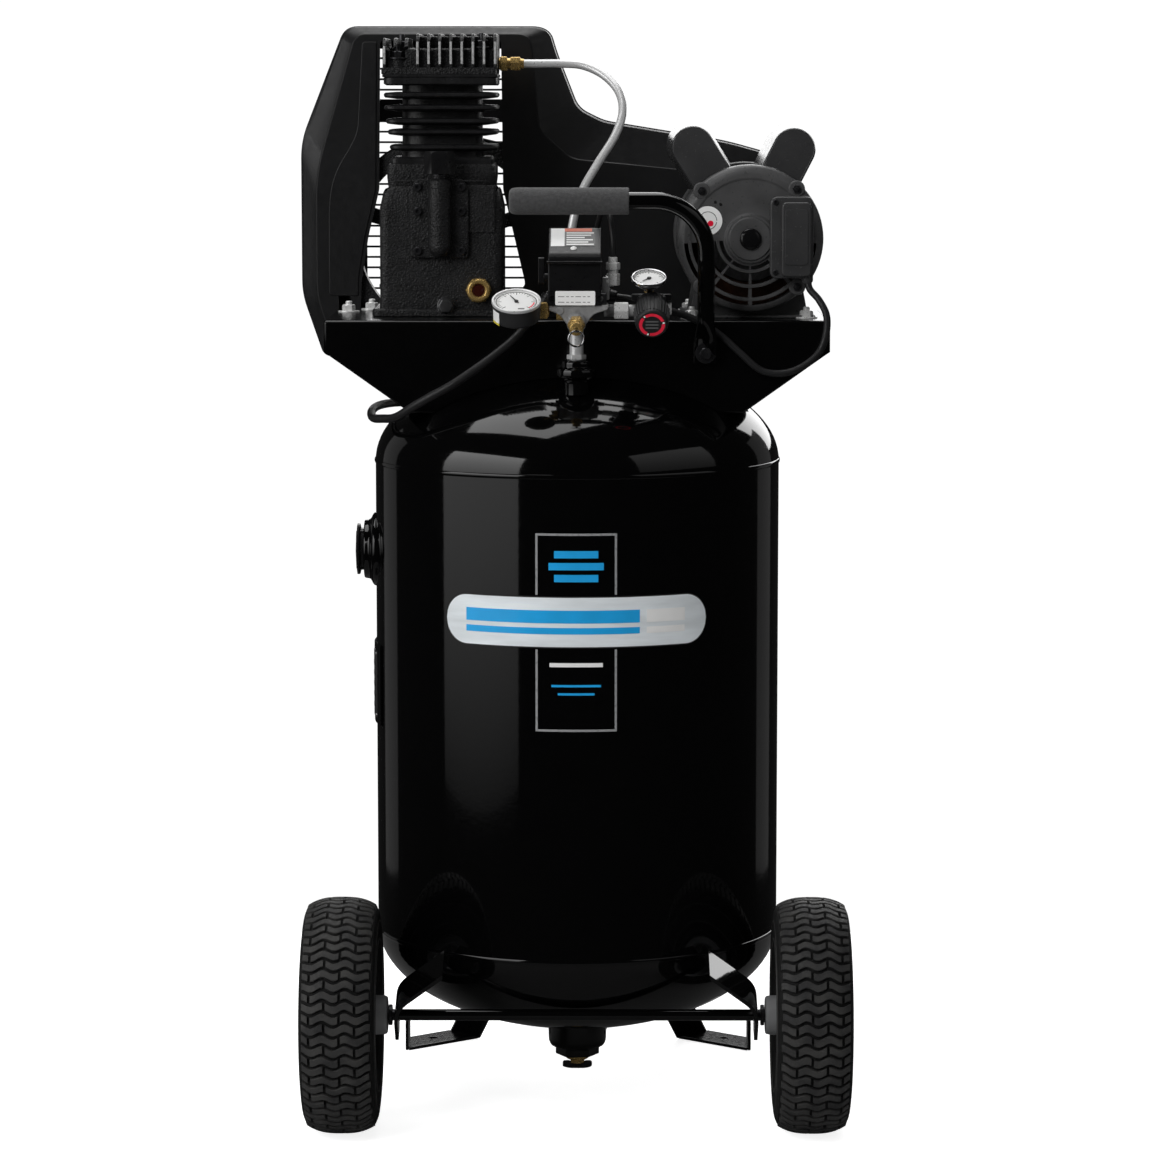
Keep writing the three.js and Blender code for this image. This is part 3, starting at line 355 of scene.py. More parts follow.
def swept(path, radius, sides=16, flatten=None, loop=False):
    """A tube along a path. flatten(i) gives the tube's (across, through) scale at point i."""
    path = [Vector(p) for p in path]
    count = len(path)
    if loop:
        tangents = [(path[(i + 1) % count] - path[i - 1]).normalized() for i in range(count)]
    else:
        tangents = [(path[min(i + 1, count - 1)] - path[max(i - 1, 0)]).normalized() for i in range(count)]
    side = tangents[0].orthogonal() if abs(tangents[0].x) > 0.9 else tangents[0].cross(Vector(X))
    side.normalize()
    rings = []
    for i, (spot, tangent) in enumerate(zip(path, tangents)):
        side = (side - tangent * side.dot(tangent)).normalized()
        other = tangent.cross(side)
        across, through = flatten(i) if flatten else (1, 1)
        reach = radius[i] if isinstance(radius, (list, tuple)) else radius
        rings.append([spot + other * (reach * across * math.cos(a)) + side * (reach * through * math.sin(a))
                      for a in round_the_circle(sides)])
    return skin(rings, caps=not loop, loop=loop)


def cleaned(shape, bevel=0.0, segments=2, angle=28):
    """The shape as a bmesh with joined points, faces outward and, if asked, its sharp edges rounded."""
    made = bmesh.new()
    points = [made.verts.new(p) for p in shape[0]]
    for side in shape[1]:
        if len(set(side)) > 2:
            try:
                made.faces.new([points[i] for i in side])
            except ValueError:
                continue
    bmesh.ops.remove_doubles(made, verts=made.verts, dist=1e-3)
    bmesh.ops.recalc_face_normals(made, faces=made.faces)
    if bevel:
        sharp = [e for e in made.edges if e.is_manifold and e.calc_face_angle(0) > math.radians(angle)]
        bmesh.ops.bevel(made, geom=sharp, offset=bevel, segments=segments, profile=0.5, affect="EDGES",
                        clamp_overlap=True)
    return made


def soft(shape, bevel, segments=2, angle=28):
    """The shape with its sharp edges rounded."""
    made = cleaned(shape, bevel, segments, angle)
    made.verts.index_update()
    result = [v.co.copy() for v in made.verts], [tuple(v.index for v in f.verts) for f in made.faces]
    made.free()
    return result


def carved(shape, *tools, operation="DIFFERENCE"):
    """The shape less each tool, or what it shares with them."""
    objects = []
    for part in (shape, *tools):
        mesh = bpy.data.meshes.new("carving")
        made = cleaned(part)
        made.to_mesh(mesh)
        made.free()
        objects.append(bpy.data.objects.new("carving", mesh))
        bpy.context.scene.collection.objects.link(objects[-1])
    for tool in objects[1:]:
        modifier = objects[0].modifiers.new("cut", "BOOLEAN")
        modifier.operation = operation
        modifier.solver = "EXACT"
        modifier.object = tool
    depsgraph = bpy.context.evaluated_depsgraph_get()
    mesh = bpy.data.meshes.new_from_object(objects[0].evaluated_get(depsgraph))
    result = [v.co.copy() for v in mesh.vertices], [tuple(p.vertices) for p in mesh.polygons]
    bpy.data.meshes.remove(mesh)
    for thing in objects:
        bpy.data.meshes.remove(thing.data)
    return result


class Form:
    """Shapes of one piece, each with the finish that it shows: the form's own, if no other is named."""

    def __init__(self, finish=None):
        self.mesh = bmesh.new()
        self.finish = finish
        self.finishes = []

    def put(self, shape, finish=None, bevel=0.0, segments=2, angle=28):
        finish = finish or self.finish
        made = cleaned(shape, bevel, segments, angle)
        if finish not in self.finishes:
            self.finishes.append(finish)
        copies = {v: self.mesh.verts.new(at(*v.co)) for v in made.verts}
        for f in made.faces:
            face = self.mesh.faces.new([copies[v] for v in f.verts])
            face.material_index = self.finishes.index(finish)
            face.smooth = True
        made.free()
        return self

    def stack(self, origin, direction, *parts, finish=None):
        """Puts in a row: ("rod", low, high, radius, bevel, sides) or ("hex", low, high, across, bevel)."""
        for kind, low, high, size, bevel, *sides in parts:
            ends = along(origin, direction, low), along(origin, direction, high)
            shape = hexagon(*ends, size) if kind == "hex" else rod(*ends, size, sides=(*sides, 32)[0])
            self.put(shape, finish, bevel)
        return self

    def made(self, name, body, slot=None, sharp=32):
        mesh = bpy.data.meshes.new(name)
        self.mesh.to_mesh(mesh)
        self.mesh.free()
        for finish in self.finishes:
            mesh.materials.append(LOOKS[finish])
        mesh.set_sharp_from_angle(angle=math.radians(sharp))
        piece = bpy.data.objects.new(name, mesh)
        bpy.context.scene.collection.objects.link(piece)
        piece.modifiers.new("even_shading", "WEIGHTED_NORMAL").keep_sharp = True
        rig.ride(piece, body)
        if slot:
            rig.slot(piece, slot)
        return piece

    def stands_for(self, node, *others, name=None, sharp=32):
        """Makes the piece that is shown in place of a CAD node, on the node's body."""
        piece = self.made(name or node + "_finished", BODY_OF[node], SLOT_OF[node], sharp)
        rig.replaces(piece, node, *others)
        return piece

# ------------------------------------------------------------------ materials

LOOKS = {}


def add_node(tree, kind, **values):
    """A shader node with values set on its input sockets."""
    node = tree.nodes.new("ShaderNode" + kind)
    for name, value in values.items():
        node.inputs[name.replace("_", " ")].default_value = value
    return node


class Nodes:
    """A material's node tree, with short ways to add what the finishes here are made of."""

    def __init__(self, name):
        self.material = bpy.data.materials.new(name)
        self.material.use_nodes = True
        self.tree = self.material.node_tree
        self.shader = self.tree.nodes["Principled BSDF"]
        self.place = self.tree.nodes.new("ShaderNodeTexCoord").outputs["Object"]

    def link(self, source, target):
        self.tree.links.new(source, target)

    def noise(self, scale, detail=3.0, stretch=None):
        node = add_node(self.tree, "TexNoise", Scale=scale, Detail=detail)
        place = self.place
        if stretch:
            mapping = add_node(self.tree, "Mapping", Scale=stretch)
            self.link(place, mapping.inputs["Vector"])
            place = mapping.outputs["Vector"]
        self.link(place, node.inputs["Vector"])
        return node.outputs["Fac"]

    def cells(self, scale):
        node = add_node(self.tree, "TexVoronoi", Scale=scale)
        self.link(self.place, node.inputs["Vector"])
        return node.outputs["Distance"]

    def ranged(self, value, low, high, start=0.3, end=0.7):
        node = add_node(self.tree, "MapRange", From_Min=start, From_Max=end, To_Min=low, To_Max=high)
        self.link(value, node.inputs["Value"])
        return node.outputs["Result"]

    def mixed(self, value, first, second):
        node = self.tree.nodes.new("ShaderNodeMix")
        node.data_type = "RGBA"
        node.inputs["A"].default_value = (*first, 1)
        node.inputs["B"].default_value = (*second, 1)
        self.link(value, node.inputs["Factor"])
        return node.outputs["Result"]

    def bump(self, height, distance):
        """Adds one more layer of bump, over those before it."""
        node = add_node(self.tree, "Bump", Strength=1.0, Distance=distance)
        self.link(height, node.inputs["Height"])
        before = self.shader.inputs["Normal"]
        if before.is_linked:
            self.link(before.links[0].from_socket, node.inputs["Normal"])
        self.link(node.outputs["Normal"], before)


def look(name, colour, roughness, metallic=0.0, *bumps, mottle=0.15, size=35, spread=0.05, stretch=None,
         pale_end=None, **sockets):
    """A finish whose colour and roughness vary over the surface. A bump is (scale, depth), or (scale, depth,
    "cells"). sockets are further values of the shader."""
    nodes = Nodes(name)
    values = {"Metallic": metallic, "IOR": 1.5, "Coat_Roughness": 0.05, "Sheen_Roughness": 0.5, **sockets}
    for socket, value in values.items():
        nodes.shader.inputs[socket.replace("_", " ")].default_value = value
    dark, pale = ([c * (1 + side * mottle) for c in colour] for side in (-1, 1))
    broad = nodes.ranged(nodes.noise(size, 4.0, stretch), 0.0, 1.0)
    nodes.link(nodes.mixed(broad, dark, pale_end or pale), nodes.shader.inputs["Base Color"])
    fine = nodes.noise(size * 7, 2.0, stretch)
    nodes.link(nodes.ranged(fine, roughness - spread, roughness + spread), nodes.shader.inputs["Roughness"])
    for scale, depth, *cells in bumps:
        nodes.bump(nodes.cells(scale) if cells else nodes.noise(scale, 3.0, stretch), depth)
    LOOKS[name] = nodes.material


def make_looks():
    gloss = {"mottle": 0.1, "spread": 0.02, "Coat_Weight": 0.35, "Coat_Roughness": 0.03}
    look("tank_black", (0.0012, 0.0012, 0.0013), 0.07, 0, (220, 2e-5), **gloss)
    look("deck_black", (0.0012, 0.0012, 0.0013), 0.2, 0, (380, 4e-5))
    look("cast_black", (0.0105, 0.0105, 0.011), 0.34, 0, (650, 9e-4), (420, 6e-4, "cells"), mottle=0.35,
         size=60, spread=0.12)
    look("fin_black", (0.010, 0.010, 0.0105), 0.36, 0, (500, 3e-4), mottle=0.3, size=80, spread=0.1)
    look("motor_black", (0.068, 0.068, 0.069), 0.34, 0, (700, 1.2e-4), mottle=0.2, spread=0.08)
    look("ear_black", (0.04, 0.04, 0.041), 0.24, 0, (900, 2e-5), spread=0.04)
    look("gauge_black", (0.02, 0.02, 0.021), 0.4, 0, (900, 3e-5))
    look("guard_black", (0.0105, 0.0105, 0.011), 0.38, 0, (1500, 8e-5), mottle=0.12, size=18, spread=0.06)
    look("satin_black", (0.006, 0.006, 0.0065), 0.33, 0, (1300, 6e-5), spread=0.06)
    look("gloss_plastic_black", (0.005, 0.005, 0.0055), 0.16, 0, (900, 3e-5), spread=0.04)
    look("knob_black", (0.016, 0.016, 0.0165), 0.45, 0, (1200, 1e-4))
    look("foam_grey", (0.058, 0.058, 0.059), 0.85, 0, (900, 4e-4, "cells"), (260, 4e-4), mottle=0.25,
         size=300, Sheen_Weight=0.25)
    # A darker copy of the tyre rubber for its carcass, so the grooves read deep: painted shade.
    look("tyre_groove", (0.006, 0.006, 0.006), 0.8, 0, (900, 1e-4), mottle=0.2)
    # The tread rubber's mottle runs from a darker tone to a paler one, lighter than the carcass.
    look("tyre_rubber", (0.028, 0.028, 0.029), 0.62, 0, (1400, 1.5e-4), mottle=0.3, size=45, spread=0.12,
         pale_end=(0.045, 0.044, 0.042))
    look("cord_black", (0.013, 0.013, 0.0135), 0.42, 0, (1000, 8e-5), spread=0.1)
    look("belt_black", (0.02, 0.02, 0.02), 0.8, 0, (1500, 3e-4))
    look("hub_grey", (0.17, 0.172, 0.175), 0.5, 0, (1100, 8e-5), mottle=0.1)
    look("zinc", (0.84, 0.84, 0.83), 0.3, 0.4, mottle=0.05, size=60)
    # Light grey for the strips on the head's fin edges: painted highlights.
    look("fin_painted_highlight", (0.5, 0.5, 0.5), 0.35, 0.3, mottle=0.3, size=300, spread=0.1)
    look("cast_alloy", (0.5, 0.5, 0.5), 0.42, 0.6, (900, 2e-4), mottle=0.2, size=150, spread=0.1)
    look("bright_tube", (0.8, 0.8, 0.8), 0.3, 0.5, mottle=0.04, size=60, spread=0.03)
    look("machined", (0.45, 0.45, 0.46), 0.32, 1.0, (1500, 4e-5), mottle=0.1, size=200)
    look("chrome", (0.8, 0.8, 0.81), 0.08, 1.0, (300, 1e-5), mottle=0.04, spread=0.03)
    look("dark_steel", (0.08, 0.08, 0.085), 0.35, 0.9, (800, 8e-5), mottle=0.2, size=90, spread=0.1)
    look("brass", (0.83, 0.56, 0.2), 0.27, 0.8, (900, 5e-5), size=120, spread=0.08)
    look("copper_wire", (0.03, 0.012, 0.006), 0.45, 0.3, (900, 4e-4), mottle=0.25, size=400,
         stretch=(1, 0.15, 1))
    look("dial_white", (0.82, 0.82, 0.81), 0.45, 0, (900, 1e-5), mottle=0.02)
    look("ink_black", (0.01, 0.01, 0.01), 0.5, mottle=0.1)
    look("ink_red", (0.9, 0.008, 0.045), 0.35, mottle=0.08)
    look("ink_orange", (0.72, 0.16, 0.08), 0.45, mottle=0.06)
    look("ink_yellow", (0.75, 0.6, 0.05), 0.45, mottle=0.06)
    look("label_white", (0.93, 0.93, 0.92), 0.4, mottle=0.03)
    look("label_grey", (0.13, 0.13, 0.13), 0.45, mottle=0.05)
    look("oil_red", (0.035, 0.006, 0.004), 0.1, mottle=0.2, Coat_Weight=0.8)
    look("decal_silver", (0.84, 0.89, 0.92), 0.36, 0.05, (400, 1e-5), mottle=0.14, size=9, stretch=(1, 1, 7))
    look("decal_blue", (0.015, 0.4, 0.85), 0.35, mottle=0.06, Coat_Weight=0.4)
    look("decal_line", (0.5, 0.51, 0.52), 0.3, 0.4, mottle=0.05)


make_looks()

# ------------------------------------------------------------------ camera, studio

CAMERA = {"x": 24.6, "y": -4630, "z": 1144, "lens": 125.9, "aim_x": 8.8, "aim_z": 583.4}
FLOOR = {"radius": 950, "drop": 0.4, "paper": 0.9, "in_paint": 0.12, "lift": 0.85}


def make_camera():
    data = bpy.data.cameras.new("camera")
    camera = bpy.data.objects.new("camera", data)
    bpy.context.scene.collection.objects.link(camera)
    camera.location = at(CAMERA["x"], CAMERA["y"], CAMERA["z"])
    aim = at(CAMERA["aim_x"], 0, CAMERA["aim_z"])
    camera.rotation_euler = (aim - camera.location).to_track_quat("-Z", "Y").to_euler()
    data.sensor_width = 36
    data.lens = CAMERA["lens"]
    bpy.context.scene.camera = camera
    bpy.context.scene.view_settings.view_transform = "Standard"


def sheet(name, corners, material):
    """A flat piece of the studio, which belongs to the stage."""
    mesh = bpy.data.meshes.new(name)
    mesh.from_pydata(corners, [], [tuple(range(len(corners)))])
    mesh.materials.append(material)
    thing = bpy.data.objects.new(name, mesh)
    bpy.context.scene.collection.objects.link(thing)
    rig.stage(thing)
    return thing


def panel(name, centre, size, target, strength, fade=None, mirrored=True):
    """A softbox: a glowing sheet that faces a point. fade is the share of its light left at its foot."""
    material = bpy.data.materials.new(name)
    material.use_nodes = True
    tree = material.node_tree
    tree.nodes.clear()
    glow = add_node(tree, "Emission", Strength=strength)
    output = add_node(tree, "OutputMaterial")
    tree.links.new(glow.outputs["Emission"], output.inputs["Surface"])
    if fade is not None:
        place, parts = add_node(tree, "TexCoord"), add_node(tree, "SeparateXYZ")
        ramp = add_node(tree, "MapRange", To_Min=strength * fade, To_Max=strength)
        tree.links.new(place.outputs["Generated"], parts.inputs["Vector"])
        tree.links.new(parts.outputs["Y"], ramp.inputs["Value"])
        tree.links.new(ramp.outputs["Result"], glow.inputs["Strength"])
    wide, tall = (s / 2 * MM for s in size)
    box = sheet(name, [(-wide, -tall, 0), (wide, -tall, 0), (wide, tall, 0), (-wide, tall, 0)], material)
    box.location = at(*centre)
    box.rotation_euler = (at(*target) - box.location).to_track_quat("Z", "Y").to_euler()
    box.visible_camera = False
    box.visible_glossy = mirrored


def make_world():
    """White all round for the camera, and dim for what the paint reflects."""
    world = bpy.data.worlds.new("studio")
    bpy.context.scene.world = world
    world.use_nodes = True
    tree = world.node_tree
    backdrop = tree.nodes["Background"]
    backdrop.inputs["Color"].default_value = (1, 1, 1, 1)
    ambient, in_paint, in_view = 0.12, 0.01, 1.05
    rays = add_node(tree, "LightPath")
    shine = add_node(tree, "Mix", A=ambient, B=in_paint)
    seen = add_node(tree, "Mix", B=in_view)
    tree.links.new(rays.outputs["Is Glossy Ray"], shine.inputs["Factor"])
    tree.links.new(rays.outputs["Is Camera Ray"], seen.inputs["Factor"])
    tree.links.new(shine.outputs["Result"], seen.inputs["A"])
    tree.links.new(seen.outputs["Result"], backdrop.inputs["Strength"])


def make_floor():
    """A round sheet of pale paper, lifted to white for the camera and dim for what the paint reflects."""
    paper = Nodes("floor_paper")
    shader, tree = paper.shader, paper.tree
    shader.inputs["Roughness"].default_value = 0.9
    shader.inputs["Specular IOR Level"].default_value = 0.1
    shader.inputs["Emission Color"].default_value = (1, 1, 1, 1)
    rays = add_node(tree, "LightPath")
    lift = tree.nodes.new("ShaderNodeMath")
    lift.operation = "MULTIPLY"
    lift.inputs[1].default_value = FLOOR["lift"]
    tone = paper.mixed(rays.outputs["Is Glossy Ray"], [FLOOR["paper"]] * 3, [FLOOR["in_paint"]] * 3)
    paper.link(tone, shader.inputs["Base Color"])
    paper.link(rays.outputs["Is Camera Ray"], lift.inputs[0])
    paper.link(lift.outputs["Value"], shader.inputs["Emission Strength"])
    sheet("floor", [at(p[0], p[1], -FLOOR["drop"]) for p in arc((0, 0), FLOOR["radius"], 0, 360, 96)[:-1]],
          paper.material)


def make_studio():
    make_world()
    make_floor()
    panel("key_left", (-3060, -2100, 1350), (3300, 3300), (0, 0, 1050), 2.6, fade=0.04)
    panel("top", (-200, 700, 3300), (3200, 2000), (0, 500, 700), 2.0)
    panel("front_top", (-600, -2600, 3300), (2600, 1100), (0, 0, 800), 2.6, mirrored=False)
    panel("key_front", (-2100, -3300, 2500), (1500, 1500), (0, 0, 800), 12.5, mirrored=False)
    panel("right", (2700, -1620, 2100), (3000, 1900), (0, 0, 1500), 0.4, fade=0.3)
    panel("behind", (1300, 3200, 2130), (4000, 2200), (1300, 0, 1700), 2.4)
    for side, word, strength in ((-1, "left", 0.12), (1, "right", 0.1)):
        panel("behind_" + word, (side * 2600, 2300, 800), (1200, 2400), (0, 0, 600), strength)


make_camera()
make_studio()

# ------------------------------------------------------------------ power cord

CORD_ROUTE = [(-41.7, -119, 903.2), (-46.8, -119.5, 896.7), (-54, -123, 887), (-67, -130, 873),
              (-85, -137, 858), (-110, -143, 840), (-137, -145, 822), (-160, -139, 809), (-180, -129, 797),
              (-200, -112, 784), (-217, -82, 780), (-229, -45, 778), (-233, 0, 782), (-226, 52, 785),
              (-204, 104, 784), (-168, 151, 778), (-132, 184, 766), (-104, 210, 746), (-84, 223.5, 706),
              (-70, 228, 650), (-61, 230, 570), (-56, 230.5, 460), (-55, 230.5, 340), (-55, 231, 220),
              (-55, 233, 120), (-55, 240, 68), (-55, 256, 33), (-55, 280, 19), (-55, 301, 15.5)]


def ease(value):
    value = min(max(value, 0.0), 1.0)
    return value * value * (3 - 2 * value)


def coil_point(angle):
    """The cord's middle in its coil: a high turn, then down inside it, round and out under it."""
    radius = 55 - 5 * ease((-120 - angle) / 30) + 10 * ease((-430 - angle) / 50)
    height = CORD["high"] - (CORD["high"] - CORD["low"]) * ease((-120 - angle) / 60)
    turn = math.radians(angle)
    return radius * math.cos(turn), CORD["coil_y"] + radius * math.sin(turn), height


def make_power_cord():
    coil = [coil_point(angle) for angle in range(180, -631, -15)]
    tail = [(x, CORD["coil_y"] + 60, z) for x, z in ((12, 5), (26, 5.1), (38, 5.6))]
    path = spline([*CORD_ROUTE, *coil, *tail], 6)
    form = Form("cord_black").put(swept(path, CORD["radius"] - 0.15, 14))
    cord = form.stands_for("power_cord", "power_cord_coil", name="mains_lead")
    plug = make_plug(CORD["coil_y"] + 60)
    make_cable_tie()
    length = sum((b - a).length for a, b in zip(path, path[1:])) * MM
    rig.cord(cord, exit=at(*CORD_ROUTE[0]), length=round(length, 3), diameter=2 * CORD["radius"] * MM,
            far_end="plug", stiffness="medium", lay="coiled", path=[at(*p) for p in path], with_pieces=[plug])


def make_plug(y):
    """A moulded plug with two flat blades and an earth pin, lying on the floor."""
    half = [(60, -11), (66, -14), (90, -14), (95, -13)]
    body = rounded([*half, *[(px, -py) for px, py in reversed(half)]], 4)
    form = Form("cord_black")
    form.put(prism([(p[0], p[1] + y) for p in body], "xy", 0.4, 23.6), bevel=3, segments=3)
    form.put(rod((37, y, 5.6), (61, y, 12), 5.4, 8.4))
    for i in range(4):
        low, high = 5.2 + 0.55 * i, 6.4 + 0.55 * i
        spot = (41 + 5 * i, y, 6.7 + 1.33 * i)
        form.put(turned([(low, 0), (high, 0.6), (high, 2.2), (low, 2.8)], spot, (24, 0, 6.4), 24))
    for side in (-6.4, 6.4):
        form.put(block((94, 112), (y + side - 0.75, y + side + 0.75), (9, 15)), "brass", 0.4)
    form.put(rod((94, y, 19), (112, y, 19), 2.4, sides=16), "brass", 0.8)
    return form.stands_for("power_plug")


def make_cable_tie():
    """A strap round the coil's bundle, at the side away from the tail."""
    ring = rounded([(41.5, 0.3), (68.5, 0.3), (68.5, 12), (61, 20.5), (49, 20.5), (41.5, 12)], 4)
    angle = math.radians(-60)
    out = Vector((math.cos(angle), math.sin(angle), 0))
    path = [Vector((0, CORD["coil_y"], p[1])) + out * p[0] for p in ring]
    Form("satin_black").put(swept(path, 1.0, 8, loop=True)).made("cord_tie", "chassis", SLOT_OF["power_cord"])


make_power_cord()

# ------------------------------------------------------------------ tank

def dome(inset, steps=28):
    """Half profile of the elliptical head, from its seam to its pole, inset from the outer skin."""
    radius, height = TANK["radius"] - inset, TANK["head"] - inset
    angles = [math.pi / 2 * i / steps for i in range(steps)]
    return [*[(radius * math.cos(a), height * math.sin(a)) for a in angles], (0, height)]


def bead(height, reach=1.3, half=2.6):
    """Profile points of a low weld bead round the tank."""
    angles = [math.pi * (i / 6 - 0.5) for i in range(7)]
    return [(TANK["radius"] + reach * math.cos(a), height + half * math.sin(a)) for a in angles]


def tank_envelope(grow):
    """The tank as a solid that is larger all round."""
    line = dome(-grow, 20)
    return turned([*[(r, TANK["low"] - h) for r, h in reversed(line)],
                   *[(r, TANK["high"] + h) for r, h in line]], sides=128)


def make_tank():
    radius, wall, low, high = (TANK[k] for k in ("radius", "wall", "low", "high"))
    sides, seam_gap = 160, 0.3
    port_z, port_bore, port_boss, port_cone, port_face = 625, 24, 33, 42, 242
    port = (0, 0, port_z)
    shell = turned([(radius - wall, low + seam_gap), (radius, low + seam_gap), (radius, high - seam_gap),
                    (radius - wall, high - seam_gap)], sides=sides)
    boss = turned([(port_bore, 215), (port_cone, 215), (port_cone, 231, 3), (port_boss + 1, 235, 2),
                   (port_boss, port_face, 2), (port_bore, port_face, 1)], port, (-1, 0, 0), 64)
    seam = math.radians(62)
    seam_path = [(radius * math.cos(seam), radius * math.sin(seam), z) for z in range(low + 2, high - 1, 3)]
    wobble = [2.6 + 0.25 * math.sin(i * 2.1) for i in range(len(seam_path))]
    form = Form("tank_black")
    form.put(carved(shell, rod((-200, 0, port_z), (-260, 0, port_z), port_bore, sides=48)))
    form.put(carved(boss, rod((0, 0, low), (0, 0, high), radius - 1, sides=sides)))
    form.put(swept(seam_path, wobble, 10))
    form.stands_for("tank_shell")

    form = Form("tank_black")
    form.put(turned([*bead(high), *[(r, high + h) for r, h in dome(0)[1:]],
                     *[(r, high + h) for r, h in reversed(dome(wall))]], sides=sides))
    form.put(turned([(8.9, 842), (8.9, 850), (15, 850, 1.5), (16.5, 847, 1.5), (16.5, 842, 1),
                     (20.5, 841, 1.5), (21.8, 838, 2), (21.8, 832, 2), (15, 829, 2), (13, 824), (13, 812),
                     (8.9, 812)], (0, -150, 0), Z, 64))
    form.put(turned([(9, 820), (9, 850), (14.5, 850, 1.5), (16, 847, 2), (16, 820)], (-8, -60, 0)))
    form.stands_for("tank_top_head")

    form = Form("tank_black")
    form.put(turned([*reversed(bead(low)), *[(r, low - h) for r, h in dome(0)[1:]],
                     *[(r, low - h) for r, h in reversed(dome(wall))]], sides=sides))
    form.put(turned([(10, 49), (10, 82), (30, 84), (34, 79.5, 3), (33.5, 74), (33, 54, 3), (30, 48.5, 3),
                     (12, 48.5)], sides=64))
    form.stands_for("tank_bottom_head")

    form = Form("satin_black").stack(port, (-1, 0, 0), ("hex", 242.5, 251, 44, 1.2))
    form.put(turned([(0, 241), (24, 241), (24, 246, 1), (29, 247, 1), (29, 250), (0, 250)], port, (-1, 0, 0)))
    form.stands_for("side_port_plug")


def make_drain():
    form = Form("brass").put(hexagon((0, 0, 47.5), (0, 0, 38), 44), "satin_black", 1.4)
    form.put(turned([(4, 28), (4, 76), (9.6, 76), (9.6, 40), (14, 39, 1), (14, 34, 2), (8, 31, 1), (8, 28)],
                    sides=32, steps=2))
    form.stands_for("drain_cock_body")
    wing = rounded([(-17, 23), (-17, 30, 3), (-9, 30, 2), (-5, 27, 3), (5, 27, 3), (9, 30, 2), (17, 30, 3),
                    (17, 23, 3), (9, 21, 3), (-9, 21, 3)], 2)
    form = Form("dark_steel").put(prism(wing, "xz", -2, 2), bevel=0.7)
    form.put(turned([(0, 22), (5.5, 22, 1), (5.8, 30.6, 0.8), (3.6, 31), (3.6, 50), (0, 50)], sides=24,
                    steps=2))
    form.stands_for("drain_cock_handle")


def wrap(left, right, low, high, lift, step=2.0):
    """A thin patch on the tank's front between two arc lengths. low and high are heights, or functions of
    the arc length."""
    count = max(2, round((right - left) / step))
    thick = 0.25
    rings = []
    for i in range(count + 1):
        s = left + (right - left) * i / count
        angle = s / TANK["radius"]
        foot, head = (edge(s) if callable(edge) else edge for edge in (low, high))
        ring = []
        for past, z in ((0, foot), (0, head), (thick, head), (thick, foot)):
            reach = TANK["radius"] + lift + past
            ring.append((reach * math.sin(angle), -reach * math.cos(angle), z))
        rings.append(ring)
    return skin(rings)


def capsule(half_wide, middle, half, lift):
    """A bar with round ends on the tank's front."""
    def reach(s):
        past = max(abs(s) - half_wide + half, 0)
        return math.sqrt(max(half * half - past * past, 0.01))

    return wrap(-half_wide, half_wide, lambda s: middle - reach(s), lambda s: middle + reach(s), lift, 1.0)


def make_decal():
    """A plain badge: a silver bar with blue bars on it, over an outlined panel. It carries no lettering."""
    edge, half, foot, middle, head = 2.4, 44.5, 450, 570, 667
    on_tank, on_bar = 0.05, 0.62
    form = Form("decal_line")
    for low, high in ((middle + 30, head), (foot, middle - 30)):
        for left in (-half, half - edge):
            form.put(wrap(left, left + edge, low, high, on_tank))
    for low in (head - edge, foot):
        form.put(wrap(-half, half, low, low + edge, on_tank))
    form.put(capsule(154, middle, 28.5, 0.06), "ink_black")
    form.put(capsule(152.5, middle, 27, 0.34), "decal_silver")
    for left, right, shade in ((-126, 70, "decal_blue"), (78, 124, "label_white")):
        for low, high in ((middle - 1, middle + 13), (middle - 13, middle - 6)):
            form.put(wrap(left, right, low, high, on_bar), shade)
    for width, low, high, shade in ((24, 614, 622, "decal_blue"), (30, 627, 635, "decal_blue"),
                                    (24, 640, 648, "decal_blue"), (29, 521, 525.5, "label_white"),
                                    (27, 499, 501.5, "decal_blue"), (20, 490, 492.5, "decal_blue")):
        form.put(wrap(-width, width, low, high, on_tank), shade)
    form.made("tank_badge", "chassis")


def make_data_plate():
    """A riveted plate with blank lines, on a saddle at the tank's left side."""
    def bowed(inside, outside, low, high, half_angle, steps, taper=0):
        line = [(inside, low), (outside, low + taper), (outside, high - taper), (inside, high)]
        return turned(line, sides=steps, start=-half_angle, sweep=2 * half_angle)

    form = Form("machined").put(bowed(228.8, 231.2, 430, 522, 16, 24, 1), "tank_black", 0.4)
    form.put(bowed(231.3, 231.8, 438, 514, 13, 24))
    for z in range(448, 497, 12):
        form.put(bowed(231.85, 232.0, z, z + 3, 9, 16), "ink_black")
    for angle in (169, 191):
        out = Vector((math.cos(math.radians(angle)), math.sin(math.radians(angle)), 0))
        for z in (441, 511):
            form.put(turned([(0, 0), (2, 0), (1.6, 0.8), (0, 1.2)], out * 231.7 + Vector((0, 0, z)), out, 16))
    form.made("data_plate", "chassis", SLOT_OF["tank_shell"])


make_tank()
make_drain()
make_decal()
make_data_plate()

# ------------------------------------------------------------------ deck, feet, wheels

def screw(start, direction, radius, tall):
    """A socket screw's head."""
    return turned([(0, tall * 0.45), (radius * 0.5, tall * 0.45), (radius * 0.5, tall), (radius * 0.88, tall),
                   (radius, tall * 0.85), (radius, -0.5), (0, -0.5)], start, direction, 24)


